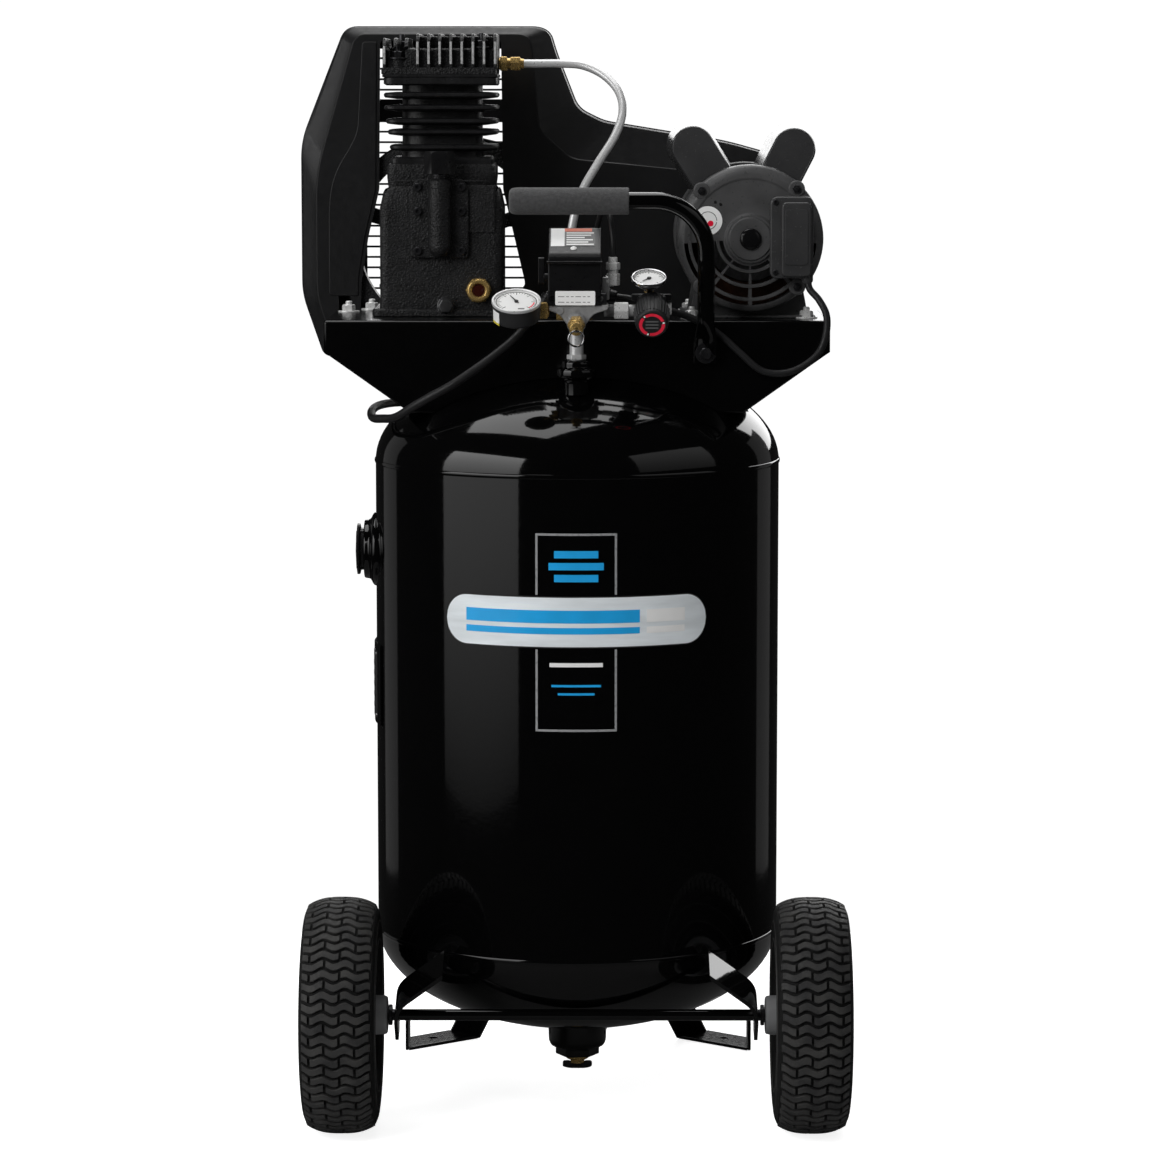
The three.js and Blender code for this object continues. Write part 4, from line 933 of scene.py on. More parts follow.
def bolt(form, start, direction, across, finish="zinc", stud=0.0):
    """A hexagon head on its washer, with a stud's end past it if asked."""
    washer = 1.6
    tall = washer + across * 0.55
    form.put(rod(along(start, direction, -0.2), along(start, direction, washer), across * 0.95), finish, 0.4)
    head = hexagon(along(start, direction, washer - 0.2), along(start, direction, tall), across)
    crown = turned([(0, washer - 1), (across * 0.62, washer - 1), (across * 0.62, washer + across * 0.396),
                    (across * 0.47, tall + 0.01), (0, tall + 0.01)], start, direction, 32)
    form.put(carved(head, crown, operation="INTERSECT"), finish)
    if stud:
        form.put(turned([(0, washer), (across * 0.28, washer), (across * 0.28, tall + stud - 1),
                         (across * 0.22, tall + stud), (0, tall + stud)], start, direction, 20), finish)


def make_deck():
    half, front, rear, top, side = (DECK[k] for k in ("half", "front", "rear", "top", "side"))
    low, panel_z = DECK["half_low"], DECK["panel"]
    sheet_thick, folds = 3, 60
    outer = prism([(-half, top), (half, top), (half, side), (low, panel_z), (-low, panel_z), (-half, side)],
                  "xz", front, rear)
    inner = block((-half + sheet_thick, half - sheet_thick), (front + sheet_thick, rear - sheet_thick),
                  (700, top - sheet_thick))
    valve_hole = rod((-8, -60, 870), (-8, -60, 900), 24, sides=48)
    motor_bolts = [(MOTOR["x"] + dx, y) for y in (-62, 105) for dx in (-64, 64)]
    slots = [soft(block((x - 5, x + 5), (y - 14, y + 14), (880, 900)), 4.9, 4, folds) for x, y in motor_bolts]
    form = Form("deck_black")
    form.put(carved(soft(outer, 4, 4, folds), soft(inner, 2, 2, folds), tank_envelope(0.8), valve_hole,
                    *slots))
    form.stands_for("mounting_deck")

    form = Form()
    for x, y in ((-262, 62), (-238, 108), (-60, 108), (-62, -70), *motor_bolts):
        bolt(form, (x, y, top), Z, 13, stud=4)
    form.made("deck_bolts", "chassis", SLOT_OF["drain_cock_handle"])


def sloped_plate(low_edge, low_z, high_edge, high_z, thick):
    """A plate that rises from one edge to another, thickened along them."""
    run = (Vector(high_edge[0]) - Vector(low_edge[0])).normalized() * thick
    rings = []
    for edge, z in ((low_edge, low_z), (high_edge, high_z)):
        a, b = Vector(edge[0]), Vector(edge[1])
        rings.append([(*a, z), (*b, z), (*(b + run), z), (*(a + run), z)])
    return skin(rings)


def both_sides(node, finish, *parts):
    """The same shapes at the left and, mirrored, at the right. Each part is (shape, bevel, segments)."""
    for word, flip in (("_left", 1), ("_right", -1)):
        form = Form(finish)
        for shape, bevel, segments in parts:
            form.put(moved(shape, Matrix.Diagonal((flip, 1, 1, 1))), None, bevel, segments)
        form.stands_for(node + word)


def make_feet():
    """A bent strap each side: down from the tank, out along the floor, and up into a lip."""
    leg = sloped_plate([(-121, 237), (-158, 265)], 1, [(-66, 130), (-103, 158)], 130, 4)
    sole = prism([(-203, 173, 3), (-121, 237), (-158, 265), (-207, 227, 3)], "xy", 0, 4)
    lip = prism([(174, 0, 2), (226, 0, 2), (226, 38, 9), (174, 38, 9)], "yz", -207, -203.3, 5)
    hole = rod((-176, 224, -5), (-176, 224, 10), 5.5, sides=32)
    both_sides("foot", "deck_black", (carved(sole, hole), 0.8, 2), (lip, 1.2, 3),
               (carved(leg, tank_envelope(0.3)), 0.8, 2))


def make_axle():
    """The rod between the wheels, its clips, and the two brackets that carry it."""
    y, z = WHEEL["y"], WHEEL["z"]
    strap = [(-200, 104, 1), (-196, 104, 1), (-196, 150, 14), (-146, 190), (-146, 195.5), (-200, 152.5, 16)]
    upright = prism(strap, "xz", y - 28, y + 28, 5)
    tapers = [prism([(y + way * 40, 96), (y + way * 6, 96), (y + way * 28, 135), (y + way * 40, 135)],
                    "yz", -215, -180) for way in (-1, 1)]
    bore = rod((-230, y, z), (-170, y, z), 6.8, sides=32)
    leaned = moved(carved(upright, *tapers), turned_by(17, "X", (0, y, z)))
    both_sides("axle_bracket", "tank_black", (carved(leaned, tank_envelope(0.3), bore), 0.7, 2))

    form = Form("dark_steel").put(rod((-200, y, z), (200, y, z), 6.3, sides=32), "tank_black")
    for side in (-1, 1):
        form.stack((0, y, z), (side, 0, 0), ("rod", 200, 298, 6.3, 1), ("rod", 203, 207, 11.5, 0.5))
        form.stack((0, y, z), (side, 0, 0), ("rod", 292.6, 295, 11, 0.5), finish="machined")
        form.put(rod((side * 296.4, y, z - 11), (side * 296.4, y, z + 11), 1.2, sides=10), "machined")
    form.stands_for("axle")


def crown_radius(across):
    """The tyre's radius at a distance from its middle: nearly flat, then round at the shoulders."""
    share = min(abs(across) / WHEEL["half"], 1)
    return WHEEL["radius"] - 8.5 * share ** 2.8


def tread_block(side, centre, left, right):
    """A wavy block across the tyre, between two distances from the tyre's middle."""
    depth, half_turn, wave, wave_long = 4.4, 0.33 * 2 * math.pi / WHEEL["rows"], 2.4 / WHEEL["radius"], 24.75
    count = max(2, round((right - left) / 3))
    rings = []
    for i in range(count + 1):
        across = left + (right - left) * i / count
        bend = wave * math.sin(2 * math.pi * (across + 4.125) / wave_long)
        top = crown_radius(across)
        half_line = [(top - depth, 1.06), (top - 0.5, 1), (top, 0.86)]
        line = [*[(reach, -share) for reach, share in half_line], *reversed(half_line)]
        rings.append([(side * (WHEEL["x"] + across),
                       WHEEL["y"] + reach * math.cos(centre + bend + share * half_turn),
                       WHEEL["z"] + reach * math.sin(centre + bend + share * half_turn)) for reach,
                      share in line])
    return skin(rings)


def tread_rows(side):
    """Rows of blocks round the tyre, each row staggered by half a block."""
    half, block_long, gap, shortest = WHEEL["half"], 33.0, 3.0, 4
    blocks = []
    for row, centre in enumerate(round_the_circle(WHEEL["rows"])):
        start = -half - block_long + block_long / 2 * (row % 2)
        while start < half:
            left, right = max(start + gap / 2, -half), min(start + block_long - gap / 2, half)
            if right - left > shortest:
                blocks.append(tread_block(side, centre, left, right))
            start += block_long
    return together(*blocks)


def mirrored_line(half):
    """A profile from its middle out, carried on to the other side."""
    return [*[(r, -h, *more) for r, h, *more in reversed(half)], *half]


def make_wheel(side, word):
    centre = Vector((side * WHEEL["x"], WHEEL["y"], WHEEL["z"]))
    out = (side, 0, 0)
    rim, groove = WHEEL["rim"], 3.4
    crown = [(crown_radius(a) - groove, a) for a in (0, 8, 16, 23, 29, 34, WHEEL["half"])]
    wall = rounded([(118, 38.2, 2), (112, 40.6, 3), (96, 41, 8), (80, 39.5, 6), (73, 36.5, 1.5),
                    (71, 38, 1.5), (68.5, 37.5, 1.5), (rim + 0.4, 33)], 0, 4, closed=False)
    profile = [*mirrored_line([*crown, *wall]), (rim + 0.4, 26), (rim + 8, 22), (rim + 8, -22),
               (rim + 0.4, -26)]
    form = Form("tyre_rubber")
    # The carcass, seen in the grooves between the blocks and on the walls, takes the darker rubber: painted shade.
    form.put(turned(profile, centre, out, 144), "tyre_groove")
    form.put(tread_rows(side))
    for face in (-1, 1):
        for reach in (84, 104):
            form.put(turned([(reach - 1.2, face * 40.4), (reach - 0.6, face * 41.3),
                             (reach + 0.6, face * 41.3), (reach + 1.2, face * 40.4)], centre, out, 96))
    form.stands_for("tyre_" + word)

    inner, outer = 208 - WHEEL["x"], 291.5 - WHEEL["x"]
    well = [(60, 14, 6), (rim - 2, 27, 3), (rim, 33, 1.5), (58, 33, 1), (55, 31, 2)]
    web = [(6.8, inner), (20, inner, 2), (21.5, inner + 3, 2), (22.5, -9, 4), (54, -6, 4),
           *mirrored_line(well), (54, 5, 4), (22.5, 8, 4), (20.5, outer - 3, 2), (19, outer, 2),
           (6.8, outer)]
    holes = []
    for a in round_the_circle(5):
        spoke = centre + Vector((0, -39 * math.sin(a), 39 * math.cos(a)))
        holes.append(rod(spoke - Vector(out) * 20, spoke + Vector(out) * 20, 10.5, sides=32))
    form = Form("hub_grey").put(carved(turned(web, centre, out, 96), *holes))
    for face in (-1, 1):
        for i in range(5):
            rib = prism([(-1.2, 21), (1.2, 21), (1.2, 55), (-1.2, 55)], "yz", *sorted((face * 5, face * 15)))
            form.put(moved(rib, spun(54 + 72 * i, "X", centre)), bevel=0.5)
    valve = centre + Vector((side * 12, 0, -57))
    form.put(rod(valve, along(valve, (side, 0, 0.5), 26), 3.2, 2.8, 20), "cord_black", 0.6)
    form.stands_for("wheel_rim_" + word)


make_deck()
make_feet()
make_axle()
make_wheel(-1, "left")
make_wheel(1, "right")

# ------------------------------------------------------------------ handle

def make_handle():
    tube, grip, x, z, bend = (HANDLE[k] for k in ("tube", "grip", "x", "z", "bend"))
    top_y, foot_y, foot_z = HANDLE["top_y"], HANDLE["foot_y"], HANDLE["foot_z"]
    slope = (top_y - foot_y) / (z - foot_z)

    def lean(px, pz):
        return (px, foot_y + slope * (pz - foot_z), pz)

    squeezed = [(1, 1), (1.12, 0.8), (1.28, 0.5), (1.38, 0.32), (1.42, 0.26), (1.42, 0.26)]
    path = [(-66, top_y, z), (-20, top_y, z), (40, top_y, z),
            *[lean(*p) for p in arc((x - bend, z - bend), bend, 90, 0, 14)],
            *[lean(x, pz) for pz in (940, 915, 900, 893, 886, 878, 870, 858, 846)]]
    shares = [*[(1, 1)] * (len(path) - len(squeezed)), *squeezed]

    form = Form("tank_black")
    form.put(soft(swept(path, tube, 28, lambda i: shares[i]), 0.8, 2, 50))
    foot = block((x - 13, x + 13), (foot_y + 3.4, DECK["front"] - 0.3), (foot_z - 18, foot_z + 6))
    form.put(foot, "deck_black", 1)
    bolt(form, (x, foot_y - 2.2, foot_z - 6), FRONT, 12, "dark_steel")
    form.stands_for("handle_tube")

    line = [(4, 0), (grip - 3, 0, 5), (grip, 5, 6), (grip, 130, 1.5), (tube + 0.3, 130), (tube + 0.3, 8),
            (4, 8)]
    Form("foam_grey").put(turned(line, (-73, top_y, z), X, 48, 5)).stands_for("handle_grip")


make_handle()

# ------------------------------------------------------------------ pump

def make_crankcase():
    """The cast body: a barrel-sided box on a flange, a block over it and the bearing boss behind."""
    x0, x1, y0, y1, shaft_z = -221, -83, PUMP["front"], PUMP["rear"], PUMP["crank"]
    form = Form("cast_black")
    flange = loft((-230, -74, y0 - 2, y1 + 2, 10, 891.4), (-230, -74, y0 - 2, y1 + 2, 10, 898),
                  (-228, -76, y0, y1, 10, 900))
    lower = loft((x0 - 1, x1 + 1, y0 + 1, y1 - 1, 9, 899), (x0, x1, y0, y1, 10, 910),
                 (x0, x1, y0, y1, 10, 1012), (x0 + 4, x1 - 4, y0 + 3, y1 - 2, 10, 1030),
                 (x0 + 10, x1 - 10, y0 + 8, y1 - 5, 10, 1041),
                 (x0 + 18, x1 - 18, y0 + 14, y1 - 9, 10, 1047))
    upper = loft((-211, -93, -28, 82, 10, 1030), (-213, -91, -30, 84, 10, 1046),
                 (-213, -91, -30, 84, 10, 1058), (-211, -93, -28, 82, 10, 1061.2))
    seat = loft(*[(-125, -91, y0 - 2.2, y0 + 6, 2.5, z) for z in (985, 1038)])
    boss = turned([(0, 0), (34, 0), (34, 40, 3), (29, 46, 2), (29, 50, 2), (0, 50)],
                  (PUMP["x"], y1 - 1, shaft_z), Y, 64)
    hollow = block((x0 + 6, x1 - 6), (y0 + 6, y1 - 6), (903, 1042))
    throat = rod((PUMP["x"], PUMP["y"], 1036), (PUMP["x"], PUMP["y"], 1070), 33, sides=64)
    shaft = rod((PUMP["x"], 60, shaft_z), (PUMP["x"], 160, shaft_z), 15, sides=48)
    form.put(flange, bevel=1)
    form.put(carved(lower, hollow, throat, shaft))
    form.put(carved(upper, throat))
    form.put(seat, bevel=1.2)
    form.put(carved(boss, shaft))
    form.stack((-147, y0 + 0.5, 903.5), FRONT, ("rod", 0, 2.5, 9.6, 0.5), ("hex", 2, 11, 14, 0.8),
               finish="machined")
    for z in (925, 945):
        form.put(block((x0 - 1.5, x0 + 4), (-20, 70), (z - 2, z + 2)), bevel=1)
    form.stands_for("crankcase", sharp=40)


def make_cover():
    """The plate on the crankcase's front with its screws, and the breather that stands on it."""
    y0 = PUMP["front"]
    plate = [(-186, 957, 5), (-121, 957, 5), (-121, 1033, 6), (-127, 1045, 4), (-180, 1045, 4),
             (-186, 1033, 6)]
    form = Form("cast_black").put(prism(plate, "xz", y0 - 6.2, y0 + 0.5, 5), bevel=1.4, segments=3)
    for x in (-178, -129):
        for z in (965, 1009, 1036):
            form.put(screw((x, y0 - 6, z), FRONT, 4.6, 4.4), "dark_steel")

    x, y = -153, -55
    foot = (x, y, 0)
    body = rounded([(0, 957), (7, 958.3, 5), (12.6, 966, 5), (12.6, 1043, 2.5), (9, 1046), (9, 1049)], 0, 6)
    form.put(turned([*body, (0, 1049)], foot))
    threads = [(8.4 if i % 2 else 9.6, 1046 + 0.75 * i) for i in range(9)]
    form.put(turned([(0, 1045), *threads, (0, 1052)], foot, Z, 40), "machined")
    crown = turned([(0, 1050), (16.6, 1050), (17.2, 1052), (17.2, 1073), (15.2, 1076.1), (0, 1076.1)], foot)
    form.put(carved(hexagon((x, y, 1051), (x, y, 1076), 29.5), crown, operation="INTERSECT"), "satin_black")
    form.put(block((x - 7, x + 7), (y + 10, y0 - 5), (1000, 1036)), bevel=2)
    form.stands_for("crankcase_cover")

    spot = (-110, y0 + 0.5, 921)
    form = Form("brass")
    form.put(turned([(7, 0), (13.6, 0), (13.6, 9, 1.5), (11.6, 11.6, 1), (8.2, 11.6, 1), (6.9, 9)], spot,
                    FRONT))
    form.stack(spot, FRONT, ("hex", 1.5, 7, 25.4, 1))
    form.put(turned([(0, 0.2), (6.8, 0.2), (6.8, 8.4), (6, 8.8), (0, 9)], spot, FRONT, 32), "oil_red")
    form.stands_for("sight_glass")


def make_cylinder():
    """The finned barrel: five tapered plates with rounded corners round a barrel, and a flange on top."""
    x, y, bore = PUMP["x"], PUMP["y"], 34.8
    form = Form("fin_black")
    hole = rod((x, y, 1050), (x, y, 1170), bore, sides=96)
    barrel = loft(*[(x - half, x + half, y - half + 1, y + half - 1, 30, z)
                    for half, z in ((47, 1060.6), (45, 1076), (45, 1156))], steps=10)
    base = loft((x - 57, x + 58, y - 53, y + 56, 9, 1061.1), (x - 57, x + 58, y - 53, y + 56, 9, 1067),
                (x - 54, x + 55, y - 51, y + 54, 9, 1069))
    flange = loft((-213, -90.5, -36, 86, 12, 1148.6), (-216, -89, -38, 88, 12, 1150.5),
                  (-216, -89, -38, 88, 12, 1156.9), (-215.4, -89.6, -37.4, 87.4, 12, 1157.6))
    form.put(carved(barrel, hole))
    form.put(carved(base, hole), bevel=0.6)
    form.put(carved(flange, hole))
    for z, left, front in ((1138, -216, -38), (1124, -216, -37), (1109, -214, -36), (1097, -212, -34),
                           (1080, -210, -32)):
        right, rear = -89, 50 - front
        fin = loft(*[(left + inset, right - inset, front + inset, rear - inset, radius, z + lift)
                     for inset, radius, lift in ((14, 12, -4.6), (1.6, 14, -2.9), (0, 15, -1.2), (0, 15, 1.2),
                                                 (1.6, 14, 2.7), (14, 12, 3.6))], steps=6)
        form.put(carved(fin, hole))
    form.stands_for("cylinder", sharp=40)


def make_head():
    """The head: fins down its front and back, with light strips on their front and top edges as painted highlights, a
    fitting boss at its right and bars on its top.
    """
    left, right, bottom, block_top, top, front, rear = -218, -90, 1162.3, 1190, 1206, -38, 88
    fins, pitch, half, bolt_x, bolt_y = 11, 12.35, 2.0, (-200, -106), (-22, 72)
    form = Form("cast_black")
    body = soft(block((left + 4, right - 2), (front + 9, rear - 9), (bottom, block_top)), 4, 3)
    recess = soft(block((left + 6, left + 38), (front - 10, front + 22), (1166, 1191)), 3, 2)
    pocket = rod((bolt_x[0], bolt_y[0], 1176), (bolt_x[0], bolt_y[0], 1215), 11, sides=32)
    form.put(carved(body, pocket))
    form.put(block((left, right), (front, rear), (bottom - 1.2, bottom + 6)), bevel=0.5)
    for i in range(fins):
        x = left + 3.4 + pitch * i
        height = top if i > 2 else 1201
        fin = prism([(front + 1.5, bottom + 4), (rear - 1.5, bottom + 4), (rear, 1178, 8),
                     (rear - 3, height - 6, 8), (rear - 12, height, 8), (front + 10, height, 8),
                     (front + 0.8, height - 8, 8), (front, 1178, 8)], "yz", x - half, x + half, 4)
        by_bolt = i in (1, 2)
        form.put(carved(fin, recess) if by_bolt else fin, bevel=1.1)
        foot = 1192 if by_bolt else 1172
        # Light strips down each fin's front edge and along its top: painted highlights of the glossy edges.
        form.put(block((x - 1.3, x + 1.3), (front - 0.4, front + 1.4), (foot, height - 9)), "fin_painted_highlight", 0.5)
        form.put(block((x - 0.9, x + 0.9), (front + 9, front + 24), (height - 1, height + 0.2)), "fin_painted_highlight",
                 0.4)
    for y in (-12, 25, 62):
        form.put(block((left + 38, right - 4), (y - 3.5, y + 3.5), (block_top - 2, top - 3)), bevel=1.6)
    form.put(turned([(0, 0), (13, 0), (13, 6, 2), (11, 8, 1), (0, 8)], (right - 6, 25, 1173), X, 32))
    for y in bolt_y:
        for x in bolt_x:
            seat = 1178 if (x, y) == (bolt_x[0], bolt_y[0]) else block_top
            form.put(rod((x, y, seat - 10), (x, y, seat), 9.5, sides=32), bevel=0.8)
            bolt(form, (x, y, seat), Z, 13, "dark_steel", stud=8)
    form.stands_for("cylinder_head", sharp=40)

    hole = rod((PUMP["x"], PUMP["y"], 1150), (PUMP["x"], PUMP["y"], 1170), 9, sides=32)
    plate = soft(block((-217, -88.5), (-38.5, 88.5), (1157.7, 1161)), 0.6)
    Form("fin_black").put(carved(plate, hole)).stands_for("valve_plate")


def make_intake():
    x, z, radius = -168, 1173, 27
    form = Form("gloss_plastic_black")
    form.put(turned([(0, 90.5), (10, 90.5), (10, 99, 1), (26, 100, 3), (radius, 103, 2), (radius, 134, 3),
                     (24, 138, 2), (0, 138)], (x, 0, z), Y, 64, 4))
    for a in round_the_circle(30):
        px, pz = x + radius * math.cos(a), z + radius * math.sin(a)
        form.put(rod((px, 104, pz), (px, 132, pz), 0.8, sides=8))
    form.stands_for("intake_filter")


make_crankcase()
make_cover()
make_cylinder()
make_head()
make_intake()

# ------------------------------------------------------------------ motor, belt drive

def make_bell(node, at_y, out, open_face):
    """An end bell. The front one has its windows, ribs, shaft cap and label."""
    x, z, bell = MOTOR["x"], MOTOR["z"], MOTOR["bell"]
    outward = (0, -out, 0)
    profile = [(8.4, 0.4), (12, 0.4), (23.2, 0, 0.8), (24, 2.4, 0.8), (26.6, 2.4, 1), (28, 6, 1.4),
               (36, 7.2, 4), (65, 7.2, 1), (67, 5.8, 1), (74, 6.4, 3), (bell, 12, 4), (bell, 36, 1),
               (bell - 1, 37.9), (bell - 4.2, 37.9), (bell - 4.2, 15, 3), (27, 12.6, 2), (20, 13), (20, 22),
               (8.4, 22)]
    windows = [band((x, z), low, high, start, end, at_y - 4, at_y + 32)
               for low, high in ((30, 34.2), (38, 50.4), (54.4, 65), (69, 73.5))
               for start, end in ((184, 229.5), (233, 268.2), (271.8, 310), (314, 356)) if open_face]
    form = Form("motor_black")
    form.put(carved(turned(profile, (x, at_y, z), (0, out, 0), 96, 5), *windows))
    for reach in (36.1, 52.4, 67) if open_face else ():
        rib = band((x, z), reach - 1.9, reach + 1.9, 182, 358, at_y + 5.4, at_y + 12, steps=60)
        form.put(rib, bevel=0.9)
    for dx, dz in ((-54, 53), (51, 55), (52, -53), (-54, -53)):
        spot = (x + dx, at_y + 9 * out, z + dz)
        form.put(turned([(0, 0), (9.5, 0), (9, 3.6, 1.4), (0, 4)], spot, outward, 32, 4))
        form.stack(spot, outward, ("hex", 3.4, 7, 8.6, 0.6), ("rod", 0, 8.6, 2.3, 0.5, 16),
                   finish="dark_steel")
    for dx, dz in ((-39, 55.5), (36, 57), (-33, 38), (-39, 40.5), (14, 21), (-14, 21)):
        form.stack((x + dx, at_y, z + dz), outward, ("rod", -8, -6.4, 1.7, 0.4, 16), finish="ink_black")
    if open_face:
        cap = [(0, -1), (12, -1), (12, 3, 1.5), (9, 5.2, 2), (0, 6.2)]
        form.put(turned(cap, (x, at_y + 0.4, z), FRONT, 48, 5), "gloss_plastic_black")
        label_x, label_z = x - 47, z + 20
        form.stack((label_x, at_y, label_z), FRONT, ("rod", -8.6, -6.5, 16, 0, 48), finish="label_white")
        ring = band((label_x, label_z), 9.4, 10.2, 0, 350, at_y + 6.3, at_y + 6.9, steps=40)
        form.put(ring, "label_grey")
        form.stack((label_x + 3, at_y, label_z - 3), FRONT, ("rod", -6.9, -6.3, 3.2, 0, 24), finish="ink_red")
    form.stands_for(node, sharp=38)


def make_motor_shell():
    x, z, shell, front, rear = (MOTOR[k] for k in ("x", "z", "shell", "front", "rear"))
    low, high = front + 38.3, rear - 40.3
    form = Form("motor_black")
    form.put(turned([(shell - 3, low), (shell, low), (shell, high), (shell - 3, high)], (x, 0, z), Y, 96))
    form.put(block((x - 74, x + 74), (-66, 110), (891.3, 894.3)), bevel=1.2)
    for low, high in ((-52, -46), (86, 92)):
        saddle = prism([(x - 66, 894), (x + 66, 894), (x + 58, 936), (x - 58, 936)], "xz", low, high)
        form.put(carved(saddle, rod((x, low - 5, z), (x, high + 5, z), shell - 0.5, sides=96)), bevel=0.8)
    form.stands_for("motor_shell")


def make_capacitor(word, lean, distance):
    """A humped cover on the shell that flares a little to the rear, with a lip round its front."""
    radius, foot, lip_foot, lip_y = 24, 56, 72, -50.9
    rings = []
    for y, grow in ((-52, -4), (-51.2, -2), (-49, -0.7), (-45, 0), (20, 1.8), (80, 4), (84, 2)):
        half = radius + grow
        rings.append([(u, y, w) for u, w in [(-half, foot), (half, foot),
                                             *arc((0, distance), half, 0, 180, 32)]])
    lobe = carved(skin(rings), rod((0, -60, 0), (0, 100, 0), MOTOR["bell"] + 0.3, sides=96))
    half = radius - 2
    lip = [(u, lip_y, w) for u, w in [(half, lip_foot), *arc((0, distance), half, 0, 180, 24),
                                      (-half, lip_foot)]]
    seat = spun(lean, "Y", (MOTOR["x"], 0, MOTOR["z"]))
    form = Form("ear_black").put(moved(lobe, seat)).put(moved(swept(lip, 0.9, 10), seat))
    form.stands_for("capacitor_cover_" + word)


def make_terminal_cover():
    front = MOTOR["front"]
    steps_out = (((213, 261), (937, 1027), 9, front - 15, front - 0.3),
                 ((225.5, 258.5), (939, 1021), 6, front - 20, front - 12))
    form = Form("ear_black")
    for wide, tall, radius, near, far in steps_out:
        form.put(prism(box_outline(wide, tall, radius, 6), "xz", near, far), None, 2.5, 4, 50)
    form.put(prism(box_outline((229, 255), (952, 1014), 5, 6), "xz", front - 21.2, front - 19), bevel=1)
    for z in (1021, 944):
        form.put(screw((219, front - 15, z), FRONT, 3, 2.2), "dark_steel")
    form.put(turned([(0, 0), (6.5, 0), (6.5, 6), (5, 9), (0, 9)], (254.5, front - 7.8, 940.5), (0, 0, -1),
                    28))
    form.stands_for("terminal_cover")


def belt_line(offset):
    """The line of the belt round both pulleys, at a distance outside its inner face."""
    big, small = BELT["wheel"] + offset, BELT["pulley"] + offset
    dx, dz = MOTOR["x"] - PUMP["x"], MOTOR["z"] - PUMP["crank"]
    tilt = math.degrees(math.atan2(dz, dx))
    meets = math.degrees(math.acos((big - small) / math.hypot(dx, dz)))
    return [*arc((PUMP["x"], PUMP["crank"]), big, tilt + meets, tilt + 360 - meets, 72),
            *arc((MOTOR["x"], MOTOR["z"]), small, tilt - meets, tilt + meets, 24)]


def make_drive():
    half, thick, y = 4.9, 8, BELT["y"]
    levels = [(0.05, -half * 0.72), (thick - 1, -half), (thick, -half * 0.9), (thick, half * 0.9),
              (thick - 1, half), (0.05, half * 0.72)]
    lines = [[(p[0], y + w, p[1]) for p in belt_line(offset)] for offset, w in levels]
    Form("belt_black").put(skin([list(ring) for ring in zip(*lines)], loop=True)).stands_for("drive_belt")

    wheel, lip, hub = BELT["wheel"], 121.5, (PUMP["x"], y, PUMP["crank"])
    x, z = PUMP["x"], PUMP["crank"]
    rim = [(104, -13, 1), (lip, -13, 1.5), (122, -6), (wheel - 0.6, -4.2), (wheel - 0.6, 4.2), (122, 6),
           (lip, 13, 1.5), (104, 13, 1)]
    form = Form("cast_black").put(turned(rim, hub, Y, 128))
    form.put(turned([(13.6, -16), (27, -16, 1.5), (29, 0), (27, 16, 1.5), (13.6, 16)], hub, Y))
    for i in range(5):
        blade = loft(*[(x - wide, x + wide, y - deep, y + deep, 3, z + reach)
                       for wide, deep, reach in ((11, 6, 24), (8, 4.5, 70), (9.5, 6, 107))])
        form.put(moved(blade, turned_by(72 * i, "Y", hub)))
    form.stack(hub, Y, ("rod", 16, 19, 19, 0.6, 40), ("hex", 18.8, 27, 22, 1), finish="machined")
    form.stands_for("flywheel")

    small = BELT["pulley"]
    profile = [(8.4, -12), (36, -12, 1), (36, -6), (small - 0.6, -4.2), (small - 0.6, 4.2), (36, 6),
               (36, 12, 1), (17, 12, 1), (17, 9), (8.4, 9)]
    form = Form("machined").put(turned(profile, (MOTOR["x"], y, MOTOR["z"]), Y, 64))
    form.stands_for("motor_pulley")


# ------------------------------------------------------------------ belt guard

GUARD_LINE = [
    (-271, 1216, 14), (-34, 1216, 20), (-26, 1188, 12), (0, 1122, 12), (30, 1107, 10), (171, 1084, 20),
    (236, 1066, 26), (262, 1020, 20), (262, 833, 12), (-298, 833, 10), (-323, 906, 16), (-323, 1084, 20)]
GUARD_FACE = [
    (-257, 1206, 12), (-57, 1206, 16), (-54, 1184, 12), (-46, 1096, 12), (-8, 1062, 10), (160, 1046, 20),
    (222, 1030, 22), (244, 1005, 16), (250, 846, 10), (-284, 846, 10), (-303, 906, 16), (-303, 1046, 30)]


def inset_line(line, amount):
    """An outline drawn in by the same amount all round."""
    corners = [Vector(p[:2]) for p in line]
    made = []
    for i, (corner, point) in enumerate(zip(corners, line)):
        back = (corner - corners[i - 1]).normalized()
        ahead = (corners[(i + 1) % len(line)] - corner).normalized()
        inward = Vector((back.y + ahead.y, -back.x - ahead.x))
        corner = corner + inward * (amount / (1 + back.dot(ahead)))
        made.append((corner.x, corner.y, max(point[2] - amount / 2, 2)))
    return made


def guard_ring(inset, y, line=GUARD_LINE):
    return [(p[0], y, p[1]) for p in rounded(inset_line(line, inset), 0, 8)]


def between_lines(share):
    """The guard's line part of the way from its face out to its full size."""
    return [(u0 + (u1 - u0) * share, v0 + (v1 - v0) * share, radius)
            for (u0, v0, _), (u1, v1, radius) in zip(GUARD_FACE, GUARD_LINE)]


